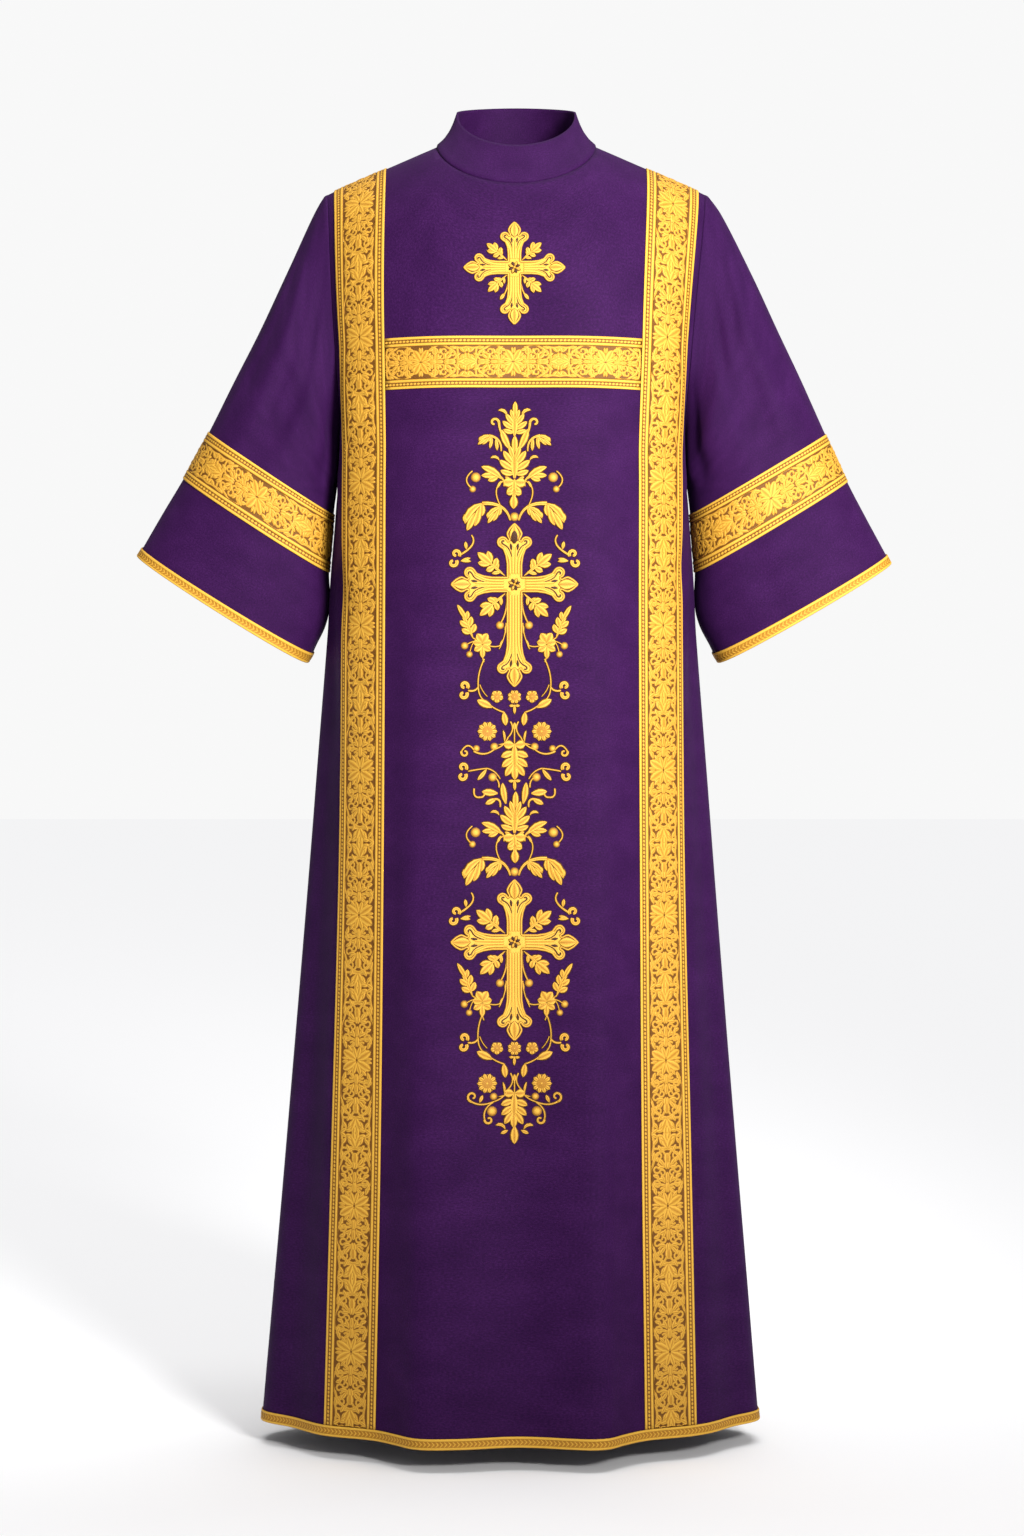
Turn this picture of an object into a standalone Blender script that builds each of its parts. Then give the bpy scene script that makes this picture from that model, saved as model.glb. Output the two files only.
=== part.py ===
"""Purple liturgical robe worn open and hollow, with gold bands, trims and crosses.

The robe stands as a body fills it: front and back panels, two wide sleeves and a stand collar.
Units are metres, +Z is up, the front faces -Y and the wearer's left arm is at +X.
The origin is between the two neck points, where the shoulders carry the robe.
"""
from collections import namedtuple
from functools import lru_cache
import math

import bmesh
import bpy
from mathutils import Matrix, Vector

# Cloth, braid and the gap left at each seam
CLOTH = 0.0016
COLLAR_CLOTH = 0.0024
BRAID = 0.0012
THREAD = 0.0011
SEAM = 0.0003
HALF_SEAM = SEAM / 2

# Finish of the cloth, the braid and the embroidery thread
Finish = namedtuple("Finish", "name colour roughness metallic")
FINISHES = (
    Finish("purple_cloth", (0.070, 0.013, 0.140), 0.72, 0.0),
    Finish("gold_braid", (0.640, 0.330, 0.035), 0.45, 0.35),
    Finish("gold_thread", (0.700, 0.370, 0.050), 0.50, 0.25),
)

# Levels of the body, measured down from the neck points
HEM_LEVEL = -1.432
HEM_TRIM = 0.012
ARMPIT_LEVEL = -0.345
BAND_BOTTOM = -0.286
BAND_TOP = -0.229
YOKE_RISE = 0.20
TOP_LEVEL = BAND_TOP + YOKE_RISE

# Neck opening and shoulder line
NECK_HALF = 0.0898
NECK_SIDE_LEVEL = 0.0005
NECK_FRONT_DROP = 0.0559
NECK_BACK_RISE = 0.004
SHOULDER_INNER = (0.1458, -0.0235)
SHOULDER_OUTER = (0.2051, -0.0487)
SHOULDER_POINT = (0.2125, -0.0522)
SHOULDER_SLOPE = (NECK_SIDE_LEVEL - SHOULDER_INNER[1]) / (SHOULDER_INNER[0] - NECK_HALF)

# The shoulder's ridge runs on smoothly over the neck hole, lower in front than behind. The
# yoke turns over to it, as round as an ellipse in front and squarer behind
FRONT_CROWN = -0.0049
BACK_CROWN = 0.0139
BACK_NECK_ROUND = 0.40
BACK_SHOULDER_ROUND = 0.75

# Collar: half breadth at shares of its height, upright at first, and its top rim
COLLAR_TOP_FRONT = 0.066
COLLAR_TOP_BACK = 0.062
COLLAR_TOP_SIDE_LEVEL = 0.0410
COLLAR_TOP_FRONT_DROP = 0.0505
COLLAR_TOP_BACK_RISE = 0.0185
COLLAR_STAND = 0.05
COLLAR_SHARES = (0.0, COLLAR_STAND, 0.24, 0.47, 0.72, 1.0)
COLLAR_HALVES = (0.0898, 0.0898, 0.0817, 0.0756, 0.0712, 0.0672)

# Places across a panel: centre line, neck point, both edges of a vertical band, side seam
CENTRE, NECK, INNER, OUTER, SIDE = 0.0, 1.0, 2.0, 3.0, 4.0
NECK_STEPS = 5
BESIDE_STEPS = 2
BAND_STEPS = 2
SIDE_STEPS = 3
NECK_ROWS = 5
SEAM_PLACE = 0.05
CHEST_BAND_GAP = 0.012
ARMHOLE_ROUND = 0.75
ARMPIT_EASE = 0.05
NECK_TRIES = 24

# The neckline's turn from the centre where it stops crossing columns and runs along one
NECK_CORNER = math.radians(70.0)
BESIDE_NECK = (0.5, 0.8, 0.96, 1.0)
QUARTER = 0.5 * math.pi

Section = namedtuple(
    "Section",
    "level centre_y flat_x flat_y inner_x inner_y outer_x outer_y side_x side_y shift",
)
FRONT_SECTIONS = (
    Section(HEM_LEVEL, -0.1590, 0.100, -0.1610, 0.1464, -0.1210, 0.2045, -0.0950, 0.2790, 0.0, -0.0068),
    Section(-1.120, -0.1480, 0.098, -0.1490, 0.1418, -0.1165, 0.1975, -0.0870, 0.2526, 0.0, -0.0058),
    Section(-0.800, -0.1370, 0.096, -0.1360, 0.1393, -0.1120, 0.1903, -0.0750, 0.2262, 0.0, -0.0052),
    Section(-0.550, -0.1310, 0.095, -0.1285, 0.1382, -0.1090, 0.1882, -0.0700, 0.2073, 0.0, -0.0050),
    Section(-0.490, -0.1299, 0.095, -0.1272, 0.1381, -0.1079, 0.1880, -0.0689, 0.2048, 0.0, -0.0049),
    Section(-0.430, -0.1286, 0.095, -0.1256, 0.1381, -0.1066, 0.1879, -0.0676, 0.2006, 0.0, -0.0047),
    Section(-0.385, -0.1278, 0.095, -0.1245, 0.1381, -0.1058, 0.1878, -0.0668, 0.1970, 0.0, -0.0046),
    Section(ARMPIT_LEVEL, -0.1270, 0.095, -0.1235, 0.1380, -0.1050, 0.1876, -0.0660, 0.1915, 0.0, -0.0045),
    Section(BAND_TOP, -0.1210, 0.096, -0.1165, 0.1410, -0.0995, 0.1925, -0.0630, 0.1985, -0.0540, -0.0033),
)
BACK_SECTIONS = (
    Section(HEM_LEVEL, 0.1390, 0.100, 0.1400, 0.1464, 0.1180, 0.2045, 0.0930, 0.2790, 0.0, -0.0068),
    Section(-1.120, 0.1270, 0.098, 0.1270, 0.1418, 0.1090, 0.1975, 0.0830, 0.2526, 0.0, -0.0058),
    Section(-0.800, 0.1150, 0.096, 0.1140, 0.1393, 0.1000, 0.1903, 0.0730, 0.2262, 0.0, -0.0052),
    Section(-0.550, 0.1070, 0.095, 0.1060, 0.1382, 0.0960, 0.1882, 0.0680, 0.2073, 0.0, -0.0050),
    Section(-0.490, 0.1067, 0.095, 0.1055, 0.1381, 0.0954, 0.1880, 0.0669, 0.2048, 0.0, -0.0049),
    Section(-0.430, 0.1064, 0.095, 0.1050, 0.1381, 0.0947, 0.1879, 0.0656, 0.2006, 0.0, -0.0047),
    Section(-0.385, 0.1062, 0.095, 0.1047, 0.1381, 0.0943, 0.1878, 0.0648, 0.1970, 0.0, -0.0046),
    Section(ARMPIT_LEVEL, 0.1060, 0.095, 0.1045, 0.1380, 0.0940, 0.1876, 0.0640, 0.1915, 0.0, -0.0045),
    Section(BAND_TOP, 0.1050, 0.096, 0.1030, 0.1410, 0.0920, 0.1925, 0.0610, 0.1985, 0.0530, -0.0033),
)

# Soft folds of the skirt: place across the panel, reach to each side, height at the hem
# (minus is a hollow) and the level where the fold dies out
Fold = namedtuple("Fold", "place reach height fades_at")
FRONT_FOLDS = (
    Fold(0.18, 0.75, -0.0070, -0.52),
    Fold(-1.02, 0.45, 0.0030, -0.60),
    Fold(1.05, 0.42, 0.0040, -0.56),
    Fold(-3.42, 0.42, -0.0080, -0.62),
    Fold(3.48, 0.40, -0.0070, -0.70),
)
BACK_FOLDS = (
    Fold(-0.62, 0.55, -0.0090, -0.50),
    Fold(0.10, 0.50, 0.0050, -0.62),
    Fold(0.78, 0.50, -0.0080, -0.56),
    Fold(-3.45, 0.42, -0.0070, -0.66),
    Fold(3.40, 0.42, -0.0080, -0.60),
)

# Levels of the rows of a panel below the chest band
BODY_LEVELS = (
    HEM_LEVEL, HEM_LEVEL + HEM_TRIM, -1.330, -1.225, -1.120, -1.010, -0.900, -0.800,
    -0.700, -0.610, -0.530, -0.465, -0.400, ARMPIT_LEVEL, -0.315, BAND_BOTTOM, -0.2575, BAND_TOP,
)
ARMPIT_ROW = BODY_LEVELS.index(ARMPIT_LEVEL)

# Sleeve rings from the armhole to the cuff: over-arm point, under-arm point, half depths
# and how far the two hands differ: both move by a shift, the left one drops by a drop
Ring = namedtuple("Ring", "share outer_x outer_z inner_x inner_z front back shift drop inner_shift")
SLEEVE_RINGS = (
    Ring(0.00, 0.2128, -0.0522, 0.1918, -0.3450, 0.0540, 0.0530, 0.0000, 0.0000, -0.0045),
    Ring(0.02, 0.2170, -0.0545, 0.1922, -0.3475, 0.0570, 0.0550, 0.0000, 0.0000, -0.0045),
    Ring(0.08, 0.2306, -0.0757, 0.1932, -0.3530, 0.0640, 0.0600, 0.0015, 0.0000, -0.0046),
    Ring(0.20, 0.2593, -0.1368, 0.1950, -0.3620, 0.0680, 0.0630, 0.0030, 0.0000, -0.0047),
    Ring(0.35, 0.2904, -0.2046, 0.1972, -0.3750, 0.0670, 0.0630, 0.0030, 0.0000, -0.0048),
    Ring(0.50, 0.3196, -0.2640, 0.1996, -0.3930, 0.0640, 0.0610, 0.0022, 0.0006, -0.0049),
    Ring(0.62, 0.3470, -0.3215, 0.2018, -0.4130, 0.0620, 0.0600, 0.0010, 0.0013, -0.0050),
    Ring(0.76, 0.3737, -0.3742, 0.2072, -0.4785, 0.0600, 0.0580, -0.0010, 0.0018, -0.0050),
    Ring(0.86, 0.3955, -0.4130, 0.2092, -0.5260, 0.0585, 0.0565, -0.0018, 0.0030, -0.0045),
    Ring(0.965, 0.4188, -0.4545, 0.2262, -0.5690, 0.0570, 0.0550, -0.0022, 0.0038, -0.0037),
    Ring(1.00, 0.4242, -0.4640, 0.2326, -0.5800, 0.0560, 0.0540, -0.0024, 0.0042, -0.0037),
)
SLEEVE_SHARES = (0.0, 0.02, 0.07, 0.14, 0.23, 0.33, 0.43, 0.53, 0.62, 0.69, 0.76, 0.86, 0.965, 1.0)
SLEEVE_BAND = (0.62, 0.69, 0.76)
CUFF_TRIM = (0.965, 1.0)
ARMHOLE_FADE = 0.30
CUFF_BACK_RISE = 0.006
SLEEVE_ROUND = 0.80

# Soft folds of a sleeve: turn round the ring (0 over the arm, 90 front, 180 under the arm),
# reach in degrees, height, and the shares of the length where it rises and dies out
SleeveFold = namedtuple("SleeveFold", "turn reach height starts ends")
SLEEVE_FOLDS = (
    SleeveFold(78.0, 26.0, -0.0060, 0.04, 0.80),
    SleeveFold(122.0, 24.0, 0.0040, 0.02, 0.60),
    SleeveFold(255.0, 30.0, -0.0070, 0.06, 0.85),
    SleeveFold(300.0, 26.0, 0.0040, 0.10, 0.95),
)

# Raised crosses on the front: level of the crossing, reach of the arms sideways, up and
# down, half breadth of an arm and size of the head that ends it
Cross = namedtuple("Cross", "name level side up down arm head")
CROSSES = (
    Cross("cross_small", -0.1540, 0.0550, 0.0514, 0.0624, 0.0064, 0.0200),
    Cross("cross_upper", -0.5003, 0.0686, 0.0661, 0.1109, 0.0074, 0.0245),
    Cross("cross_lower", -0.8880, 0.0686, 0.0672, 0.1061, 0.0074, 0.0245),
)
CROSS_X = -0.0022

# Head of an arm, in shares of its size: how far aside and how far back from the tip. The
# arm flares into a round curl on each side, and a leaf with two bends stands between them
FLARE_STARTS = 1.80
FLARE = ((0.36, 1.42), (0.47, 1.12))
CURL_AT = 0.82
CURL_ASIDE = 0.525
CURL_RADIUS = 0.215
CURL_STARTS = -60.0
CURL_ENDS = 150.0
CURL_STEPS = 6
LEAF = ((0.31, 0.435), (0.20, 0.22))
CUTTER_DEPTH = 0.15
WELD = 0.00001

# Small steps that read a direction: along a height, across a panel, along a sleeve
STEP = 0.0005
PLACE_STEP = 0.01
SHARE_STEP = 0.002


def clear_scene():
    for item in list(bpy.data.objects):
        bpy.data.objects.remove(item, do_unlink=True)


def make_material(finish):
    material = bpy.data.materials.new(finish.name)
    material.use_nodes = True
    shader = material.node_tree.nodes["Principled BSDF"]
    shader.inputs["Base Color"].default_value = (*finish.colour, 1.0)
    shader.inputs["Roughness"].default_value = finish.roughness
    shader.inputs["Metallic"].default_value = finish.metallic
    material.diffuse_color = (*finish.colour, 1.0)
    return material


def smooth_step(value):
    value = min(1.0, max(0.0, value))
    return value * value * (3.0 - 2.0 * value)


def bell(offset, reach):
    """1 at the middle of a fold, easing to 0 at its reach."""
    share = abs(offset) / reach
    if share >= 1.0:
        return 0.0
    return 0.5 + 0.5 * math.cos(math.pi * share)


def hermite(start, end, start_slope, end_slope, share):
    square = share * share
    cube = square * share
    return (
        (2 * cube - 3 * square + 1) * start
        + (cube - 2 * square + share) * start_slope
        + (3 * square - 2 * cube) * end
        + (cube - square) * end_slope
    )


def read_table(rows, key, where, column):
    """Value of a named column, on a smooth curve through the rows of a table."""
    keys = [getattr(row, key) for row in rows]
    values = [getattr(row, column) for row in rows]
    index = 0
    while index < len(rows) - 2 and where > keys[index + 1]:
        index += 1

    def slope(at):
        before, after = max(at - 1, 0), min(at + 1, len(rows) - 1)
        return (values[after] - values[before]) / (keys[after] - keys[before])

    span = keys[index + 1] - keys[index]
    share = min(1.0, max(0.0, (where - keys[index]) / span))
    return hermite(values[index], values[index + 1], slope(index) * span, slope(index + 1) * span, share)


def section_points(sections, level):
    """The five points that hold the plan of half a panel at a level."""
    names = (("", "centre_y"), ("flat_x", "flat_y"), ("inner_x", "inner_y"),
             ("outer_x", "outer_y"), ("side_x", "side_y"))
    points = []
    for x_name, y_name in names:
        x = read_table(sections, "level", level, x_name) if x_name else 0.0
        y = read_table(sections, "level", level, y_name)
        points.append(Vector((x, y)))
    return points


def armhole_depth(face, level):
    """How far the armhole edge lies before or behind the shoulder line, below the chest band."""
    sections = FRONT_SECTIONS if face < 0 else BACK_SECTIONS
    share = (level - ARMPIT_LEVEL) / (BAND_TOP - ARMPIT_LEVEL)
    return sections[-1].side_y * math.sin(QUARTER * min(1.0, max(0.0, share))) ** ARMHOLE_ROUND


def plan_point(face, place, level):
    """Plan position and outward direction at a place on half a panel."""
    sections = FRONT_SECTIONS if face < 0 else BACK_SECTIONS
    points = section_points(sections, level)
    points[4].y = armhole_depth(face, level) + face * HALF_SEAM
    lengths = [(points[i + 1] - points[i]).length for i in range(4)]
    above_armpit = smooth_step((level - ARMPIT_LEVEL) / ARMPIT_EASE)
    across = (points[4] - points[3]) / lengths[3]
    slopes = [Vector((1.0, 0.0))]
    for i in range(1, 4):
        before = (points[i] - points[i - 1]) / lengths[i - 1]
        after = (points[i + 1] - points[i]) / lengths[i]
        share = lengths[i] / (lengths[i - 1] + lengths[i])
        slopes.append(before * share + after * (1.0 - share))
    slopes.append(Vector((0.0, -face)).lerp(across, above_armpit))
    index = min(3, int(place))
    share = place - index
    length = lengths[index]
    start, end = points[index], points[index + 1]
    start_slope, end_slope = slopes[index] * length, slopes[index + 1] * length
    point = hermite(start, end, start_slope, end_slope, share)
    ahead = hermite(start, end, start_slope, end_slope, min(1.0, share + PLACE_STEP))
    behind = hermite(start, end, start_slope, end_slope, max(0.0, share - PLACE_STEP))
    run = (ahead - behind).normalized()
    return point, Vector((-face * run.y, face * run.x))


def fold_height(face, place, level):
    folds = FRONT_FOLDS if face < 0 else BACK_FOLDS
    height = 0.0
    for fold in folds:
        depth = (fold.fades_at - level) / (fold.fades_at - HEM_LEVEL)
        height += fold.height * bell(place - fold.place, fold.reach) * smooth_step(depth)
    return height


def ridge_point(face, place):
    """The shoulder line at a place, and the smooth line over the neck hole that it runs into."""
    if place < NECK:
        inward = 1.0 - (place / NECK) ** 2
        crown = FRONT_CROWN if face < 0 else BACK_CROWN
        rise = 0.5 * SHOULDER_SLOPE * NECK_HALF * inward + crown * inward ** 2
        return Vector((NECK_HALF * place / NECK, face * HALF_SEAM, NECK_SIDE_LEVEL + rise))
    stops = ((NECK_HALF, NECK_SIDE_LEVEL), SHOULDER_INNER, SHOULDER_OUTER, SHOULDER_POINT)
    index = min(2, int(place - NECK))
    share = place - NECK - index
    start, end = stops[index], stops[index + 1]
    return Vector((
        start[0] + (end[0] - start[0]) * share,
        face * HALF_SEAM,
        start[1] + (end[1] - start[1]) * share,
    ))


def yoke_round(face, place):
    """Power on the yoke's rise: 1 is an ellipse, less is squarer at the shoulder."""
    if face < 0:
        return 1.0
    if place < NECK:
        return BACK_NECK_ROUND + (BACK_SHOULDER_ROUND - BACK_NECK_ROUND) * (place / NECK) ** 4
    return BACK_SHOULDER_ROUND + (1.0 - BACK_SHOULDER_ROUND) * smooth_step(place - NECK)


def yoke_point(face, place, turn):
    """The yoke at a turn from upright (0) to the ridge (a quarter turn)."""
    flat, _ = plan_point(face, place, BAND_TOP)
    ridge = ridge_point(face, place)
    up = math.sin(turn) ** yoke_round(face, place)
    over = 1.0 - math.cos(turn)
    return Vector((
        flat.x + (ridge.x - flat.x) * up,
        flat.y + (ridge.y - flat.y) * over,
        BAND_TOP + (ridge.z - BAND_TOP) * up,
    ))


@lru_cache(maxsize=None)
def neck_trim(face, along):
    """Where the neckline lies on the yoke, at a turn from its centre: a place and a turn over."""
    level = NECK_SIDE_LEVEL + NECK_BACK_RISE * max(0.0, math.cos(along)) ** 2
    if face < 0:
        level = NECK_SIDE_LEVEL - NECK_FRONT_DROP * max(0.0, math.cos(along))
    aside = NECK_HALF * math.sin(along)
    place = NECK * along / QUARTER
    over = QUARTER
    for _ in range(NECK_TRIES):
        up = min(1.0, (level - BAND_TOP) / (ridge_point(face, place).z - BAND_TOP))
        over = math.asin(up ** (1.0 / yoke_round(face, place)))
        if aside:
            place = min(NECK, place * aside / yoke_point(face, place, over).x)
    return place, over


def neck_point(face, along):
    """Neckline at a turn from the centre front or back (0) to the neck point (a quarter turn)."""
    return yoke_point(face, *neck_trim(face, along))


def corner_rise(face):
    return neck_trim(face, NECK_CORNER)[1] / QUARTER


def yoke_place(face, half_place, rise):
    """Place and turn over, on the yoke, of a column at a share of the rise to the shoulder."""
    corner = corner_rise(face)
    below = min(1.0, rise / corner)
    if half_place <= NECK and rise <= corner:
        end_place, end_over = neck_trim(face, NECK_CORNER * half_place / NECK)
        return half_place + (end_place - half_place) * below, end_over * below
    if rise <= corner:
        end_place, end_over = neck_trim(face, NECK_CORNER)
        beside_place, beside_over = NECK + (end_place - NECK) * below, end_over * below
    else:
        above = (rise - corner) / (1.0 - corner)
        beside_place, beside_over = neck_trim(face, NECK_CORNER + (QUARTER - NECK_CORNER) * above)
    share = min(1.0, half_place - NECK)
    place = beside_place + (INNER - beside_place) * share if share < 1.0 else half_place
    return place, beside_over + (QUARTER * rise - beside_over) * share


def body_point(face, place, level):
    """Outer surface of the front (face -1) or the back (face +1) at a place and a level."""
    hand = -1.0 if place < 0 else 1.0
    shift = read_table(FRONT_SECTIONS, "level", min(level, BAND_TOP), "shift")
    if level <= BAND_TOP:
        flat, outward = plan_point(face, abs(place), level)
        flat = flat + outward * fold_height(face, place, level)
        return Vector((hand * flat.x + shift, flat.y, level))
    rise = min(1.0, (level - BAND_TOP) / YOKE_RISE)
    point = yoke_point(face, *yoke_place(face, abs(place), rise))
    shift *= 1.0 - smooth_step(rise / corner_rise(face))
    return Vector((hand * point.x + shift, point.y, point.z))


def body_normal(face, place, level):
    low_place = max(place - PLACE_STEP, -SIDE)
    high_place = min(place + PLACE_STEP, SIDE)
    low_level = max(level - STEP, HEM_LEVEL)
    high_level = min(level + STEP, TOP_LEVEL)
    across = body_point(face, high_place, level) - body_point(face, low_place, level)
    up = body_point(face, place, high_level) - body_point(face, place, low_level)
    return (across.cross(up) * -face).normalized()


def moved_out(face, place, level, distance):
    point = body_point(face, place, level)
    return point + body_normal(face, place, level) * distance if distance else point


def half_places():
    """Places of a panel's columns from the centre line to the side seam."""
    steps = ((CENTRE, NECK, NECK_STEPS), (NECK, INNER, BESIDE_STEPS),
             (INNER, OUTER, BAND_STEPS), (OUTER, SIDE, SIDE_STEPS))
    places = [CENTRE]
    for start, end, count in steps:
        places += [start + (end - start) * (i + 1) / count for i in range(count)]
    places.insert(-1, SIDE - SEAM_PLACE)
    return places


def panel_places():
    right = half_places()
    return [-place for place in reversed(right[1:])] + right


def panel_levels(face):
    """Levels of a panel's rows: to the hem trim, the chest band, the neck corner and the ridge."""
    corner = corner_rise(face)
    rises = [corner * (step + 1) / NECK_ROWS for step in range(NECK_ROWS)]
    rises += [corner + (1.0 - corner) * share for share in BESIDE_NECK]
    return list(BODY_LEVELS) + [BAND_TOP + YOKE_RISE * rise for rise in rises]


def panel_rows(face, places, distance):
    """Points of a panel moved out by a distance, a row for each level, none in the neck hole."""
    top_row = len(BODY_LEVELS) + NECK_ROWS
    return [
        [moved_out(face, place, level, distance) if row < top_row or abs(place) >= NECK else None
         for place in places]
        for row, level in enumerate(panel_levels(face))
    ]


def loft_mesh(name, rows, closed, flip):
    """A sheet lofted through rows of points, each row closed into a ring or left open.

    A row may have gaps, marked None, where the sheet has a hole.
    """
    mesh = bpy.data.meshes.new(name)
    sheet = bmesh.new()
    lines = [[sheet.verts.new(point) if point else None for point in row] for row in rows]
    count = len(rows[0])
    for lower, upper in zip(lines, lines[1:]):
        for i in range(count if closed else count - 1):
            j = (i + 1) % count
            corners = (lower[i], lower[j], upper[j], upper[i])
            if all(corners):
                sheet.faces.new(corners[::-1] if flip else corners)
    sheet.to_mesh(mesh)
    sheet.free()
    return mesh


def add_wall(collection, name, mesh, material, thickness, outward):
    """An open sheet made into a wall, its faces split alike on both sides."""
    mesh.materials.append(material)
    mesh.shade_smooth()
    item = bpy.data.objects.new(name, mesh)
    collection.objects.link(item)
    split = item.modifiers.new("Split", "TRIANGULATE")
    split.quad_method = "FIXED"
    wall = item.modifiers.new("Wall", "SOLIDIFY")
    wall.thickness = thickness
    wall.offset = 1.0 if outward else -1.0
    wall.use_even_offset = True
    return item


def make_panel(collection, name, face, material):
    mesh = loft_mesh(name, panel_rows(face, panel_places(), 0.0), closed=False, flip=face > 0)
    return add_wall(collection, name, mesh, material, CLOTH, outward=False)


def neck_ring():
    """Turns round the neck, matching the points of the panels along the neckline."""
    quarter = [NECK_CORNER * step / NECK_STEPS for step in range(NECK_STEPS + 1)]
    quarter += [NECK_CORNER + (QUARTER - NECK_CORNER) * share for share in BESIDE_NECK]
    half = quarter + [math.pi - turn for turn in reversed(quarter[:-1])]
    return half + [turn + math.pi for turn in half[1:-1]]


def collar_half(share):
    index = 0
    while index < len(COLLAR_SHARES) - 2 and share > COLLAR_SHARES[index + 1]:
        index += 1
    low, high = COLLAR_SHARES[index], COLLAR_SHARES[index + 1]
    within = (share - low) / (high - low)
    return COLLAR_HALVES[index] + (COLLAR_HALVES[index + 1] - COLLAR_HALVES[index]) * within


def collar_point(turn, share):
    """Outer side of the collar: turn 0 is the centre front, share 0 the neck seam, 1 the rim."""
    front = math.cos(turn) > 0
    along = abs(math.cos(turn))
    base = neck_point(-1 if front else 1, math.asin(abs(math.sin(turn))))
    rim_depth = -COLLAR_TOP_FRONT if front else COLLAR_TOP_BACK
    rim_rise = -COLLAR_TOP_FRONT_DROP if front else COLLAR_TOP_BACK_RISE
    rim_level = COLLAR_TOP_SIDE_LEVEL + rim_rise * along
    inward = max(0.0, share - COLLAR_STAND) / (1.0 - COLLAR_STAND)
    return Vector((
        collar_half(share) * math.sin(turn),
        base.y + (rim_depth * along - base.y) * inward,
        base.z + SEAM + (rim_level - base.z) * share,
    ))


def make_collar(collection, material):
    rows = [[collar_point(turn, share) for turn in neck_ring()] for share in COLLAR_SHARES]
    mesh = loft_mesh("collar", rows, closed=True, flip=False)
    return add_wall(collection, "collar", mesh, material, COLLAR_CLOTH, outward=False)


def armhole_ring(hand):
    """Armhole edge from the shoulder point down the front to the armpit and up the back."""
    front = [body_point(-1, hand * SIDE, level) for level in reversed(panel_levels(-1)[ARMPIT_ROW:])]
    back = [body_point(1, hand * SIDE, level) for level in panel_levels(1)[ARMPIT_ROW:]]
    ring = front + back[1:-1]
    for end in (0, len(front) - 1):
        ring[end] = Vector((ring[end].x, 0.0, ring[end].z))
    return [point + Vector((hand * SEAM, 0.0, 0.0)) for point in ring]


def ring_value(share, column):
    return read_table(SLEEVE_RINGS, "share", share, column)


def sleeve_ends(share, hand):
    """Over-arm and under-arm points of a ring."""
    outer_x = hand * ring_value(share, "outer_x") + ring_value(share, "shift")
    outer_z = ring_value(share, "outer_z") - hand * ring_value(share, "drop")
    inner_x = hand * ring_value(share, "inner_x") + ring_value(share, "inner_shift")
    return Vector((outer_x, 0.0, outer_z)), Vector((inner_x, 0.0, ring_value(share, "inner_z")))


def sleeve_fold_height(turn, share):
    height = 0.0
    for fold in SLEEVE_FOLDS:
        middle = 0.5 * (fold.starts + fold.ends)
        along = bell(share - middle, 0.5 * (fold.ends - fold.starts))
        height += fold.height * bell(turn - fold.turn, fold.reach) * along
    return height


def sleeve_point(hand, index, share, armhole):
    """Outer surface of a sleeve at a point of its ring and a share of its length."""
    count = len(armhole)
    turn = 2.0 * math.pi * index / count
    outer, inner = sleeve_ends(share, hand)
    front = math.sin(turn) >= 0
    depth = ring_value(share, "front" if front else "back")
    round_depth = math.copysign(abs(math.sin(turn)) ** SLEEVE_ROUND, math.sin(turn)) * depth
    round_depth += math.copysign(sleeve_fold_height(math.degrees(turn), share), math.sin(turn))
    across = (1.0 - math.cos(turn)) / 2.0
    point = outer.lerp(inner, across) + Vector((0.0, -round_depth, 0.0))
    top, bottom = armhole[0], armhole[count // 2]
    span = top - bottom
    down = (top - armhole[index]).dot(span) / span.length_squared
    aside = armhole[index] - top.lerp(bottom, down)
    from_armhole = outer.lerp(inner, down) + aside
    leaving = smooth_step(share / ARMHOLE_FADE)
    point = from_armhole.lerp(point, leaving)
    length = (outer - inner).normalized()
    axis = Vector((-length.z, 0.0, length.x)) * hand
    lift = CUFF_BACK_RISE * smooth_step(share) * point.y / depth
    return point - axis * lift * (1.0 if axis.z < 0 else -1.0)


def sleeve_normal(hand, index, share, armhole):
    count = len(armhole)
    low, high = max(0.0, share - SHARE_STEP), min(1.0, share + SHARE_STEP)
    along = sleeve_point(hand, index, high, armhole) - sleeve_point(hand, index, low, armhole)
    round_it = (sleeve_point(hand, (index + 1) % count, share, armhole)
                - sleeve_point(hand, (index - 1) % count, share, armhole))
    return (round_it.cross(along) * hand).normalized()


def sleeve_rows(hand, shares, distance):
    armhole = armhole_ring(hand)
    rows = []
    for share in shares:
        row = []
        for index in range(len(armhole)):
            point = armhole[index] if share == 0.0 else sleeve_point(hand, index, share, armhole)
            if distance:
                point = point + sleeve_normal(hand, index, share, armhole) * distance
            row.append(point)
        rows.append(row)
    return rows


def make_sleeve_piece(collection, name, hand, material, shares, distance, thickness):
    mesh = loft_mesh(name, sleeve_rows(hand, shares, distance), closed=True, flip=hand < 0)
    return add_wall(collection, name, mesh, material, thickness, outward=distance > 0)


def make_vertical_band(collection, name, hand, material):
    """One strip from the front hem, over the shoulder seam, to the back hem."""
    places = [hand * (INNER + (OUTER - INNER) * i / BAND_STEPS) for i in range(BAND_STEPS + 1)]
    sides = []
    for face in (-1, 1):
        levels = panel_levels(face)[1:-1]
        levels[0] += SEAM
        sides.append([[moved_out(face, place, level, SEAM) for place in places] for level in levels])
    ridge = [ridge_point(-1, abs(place)) for place in places]
    over = [Vector((hand * point.x, 0.0, point.z + SEAM)) for point in ridge]
    rows = [*sides[0], over, *reversed(sides[1])]
    mesh = loft_mesh(name, rows, closed=False, flip=hand < 0)
    return add_wall(collection, name, mesh, material, BRAID, outward=True)


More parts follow.
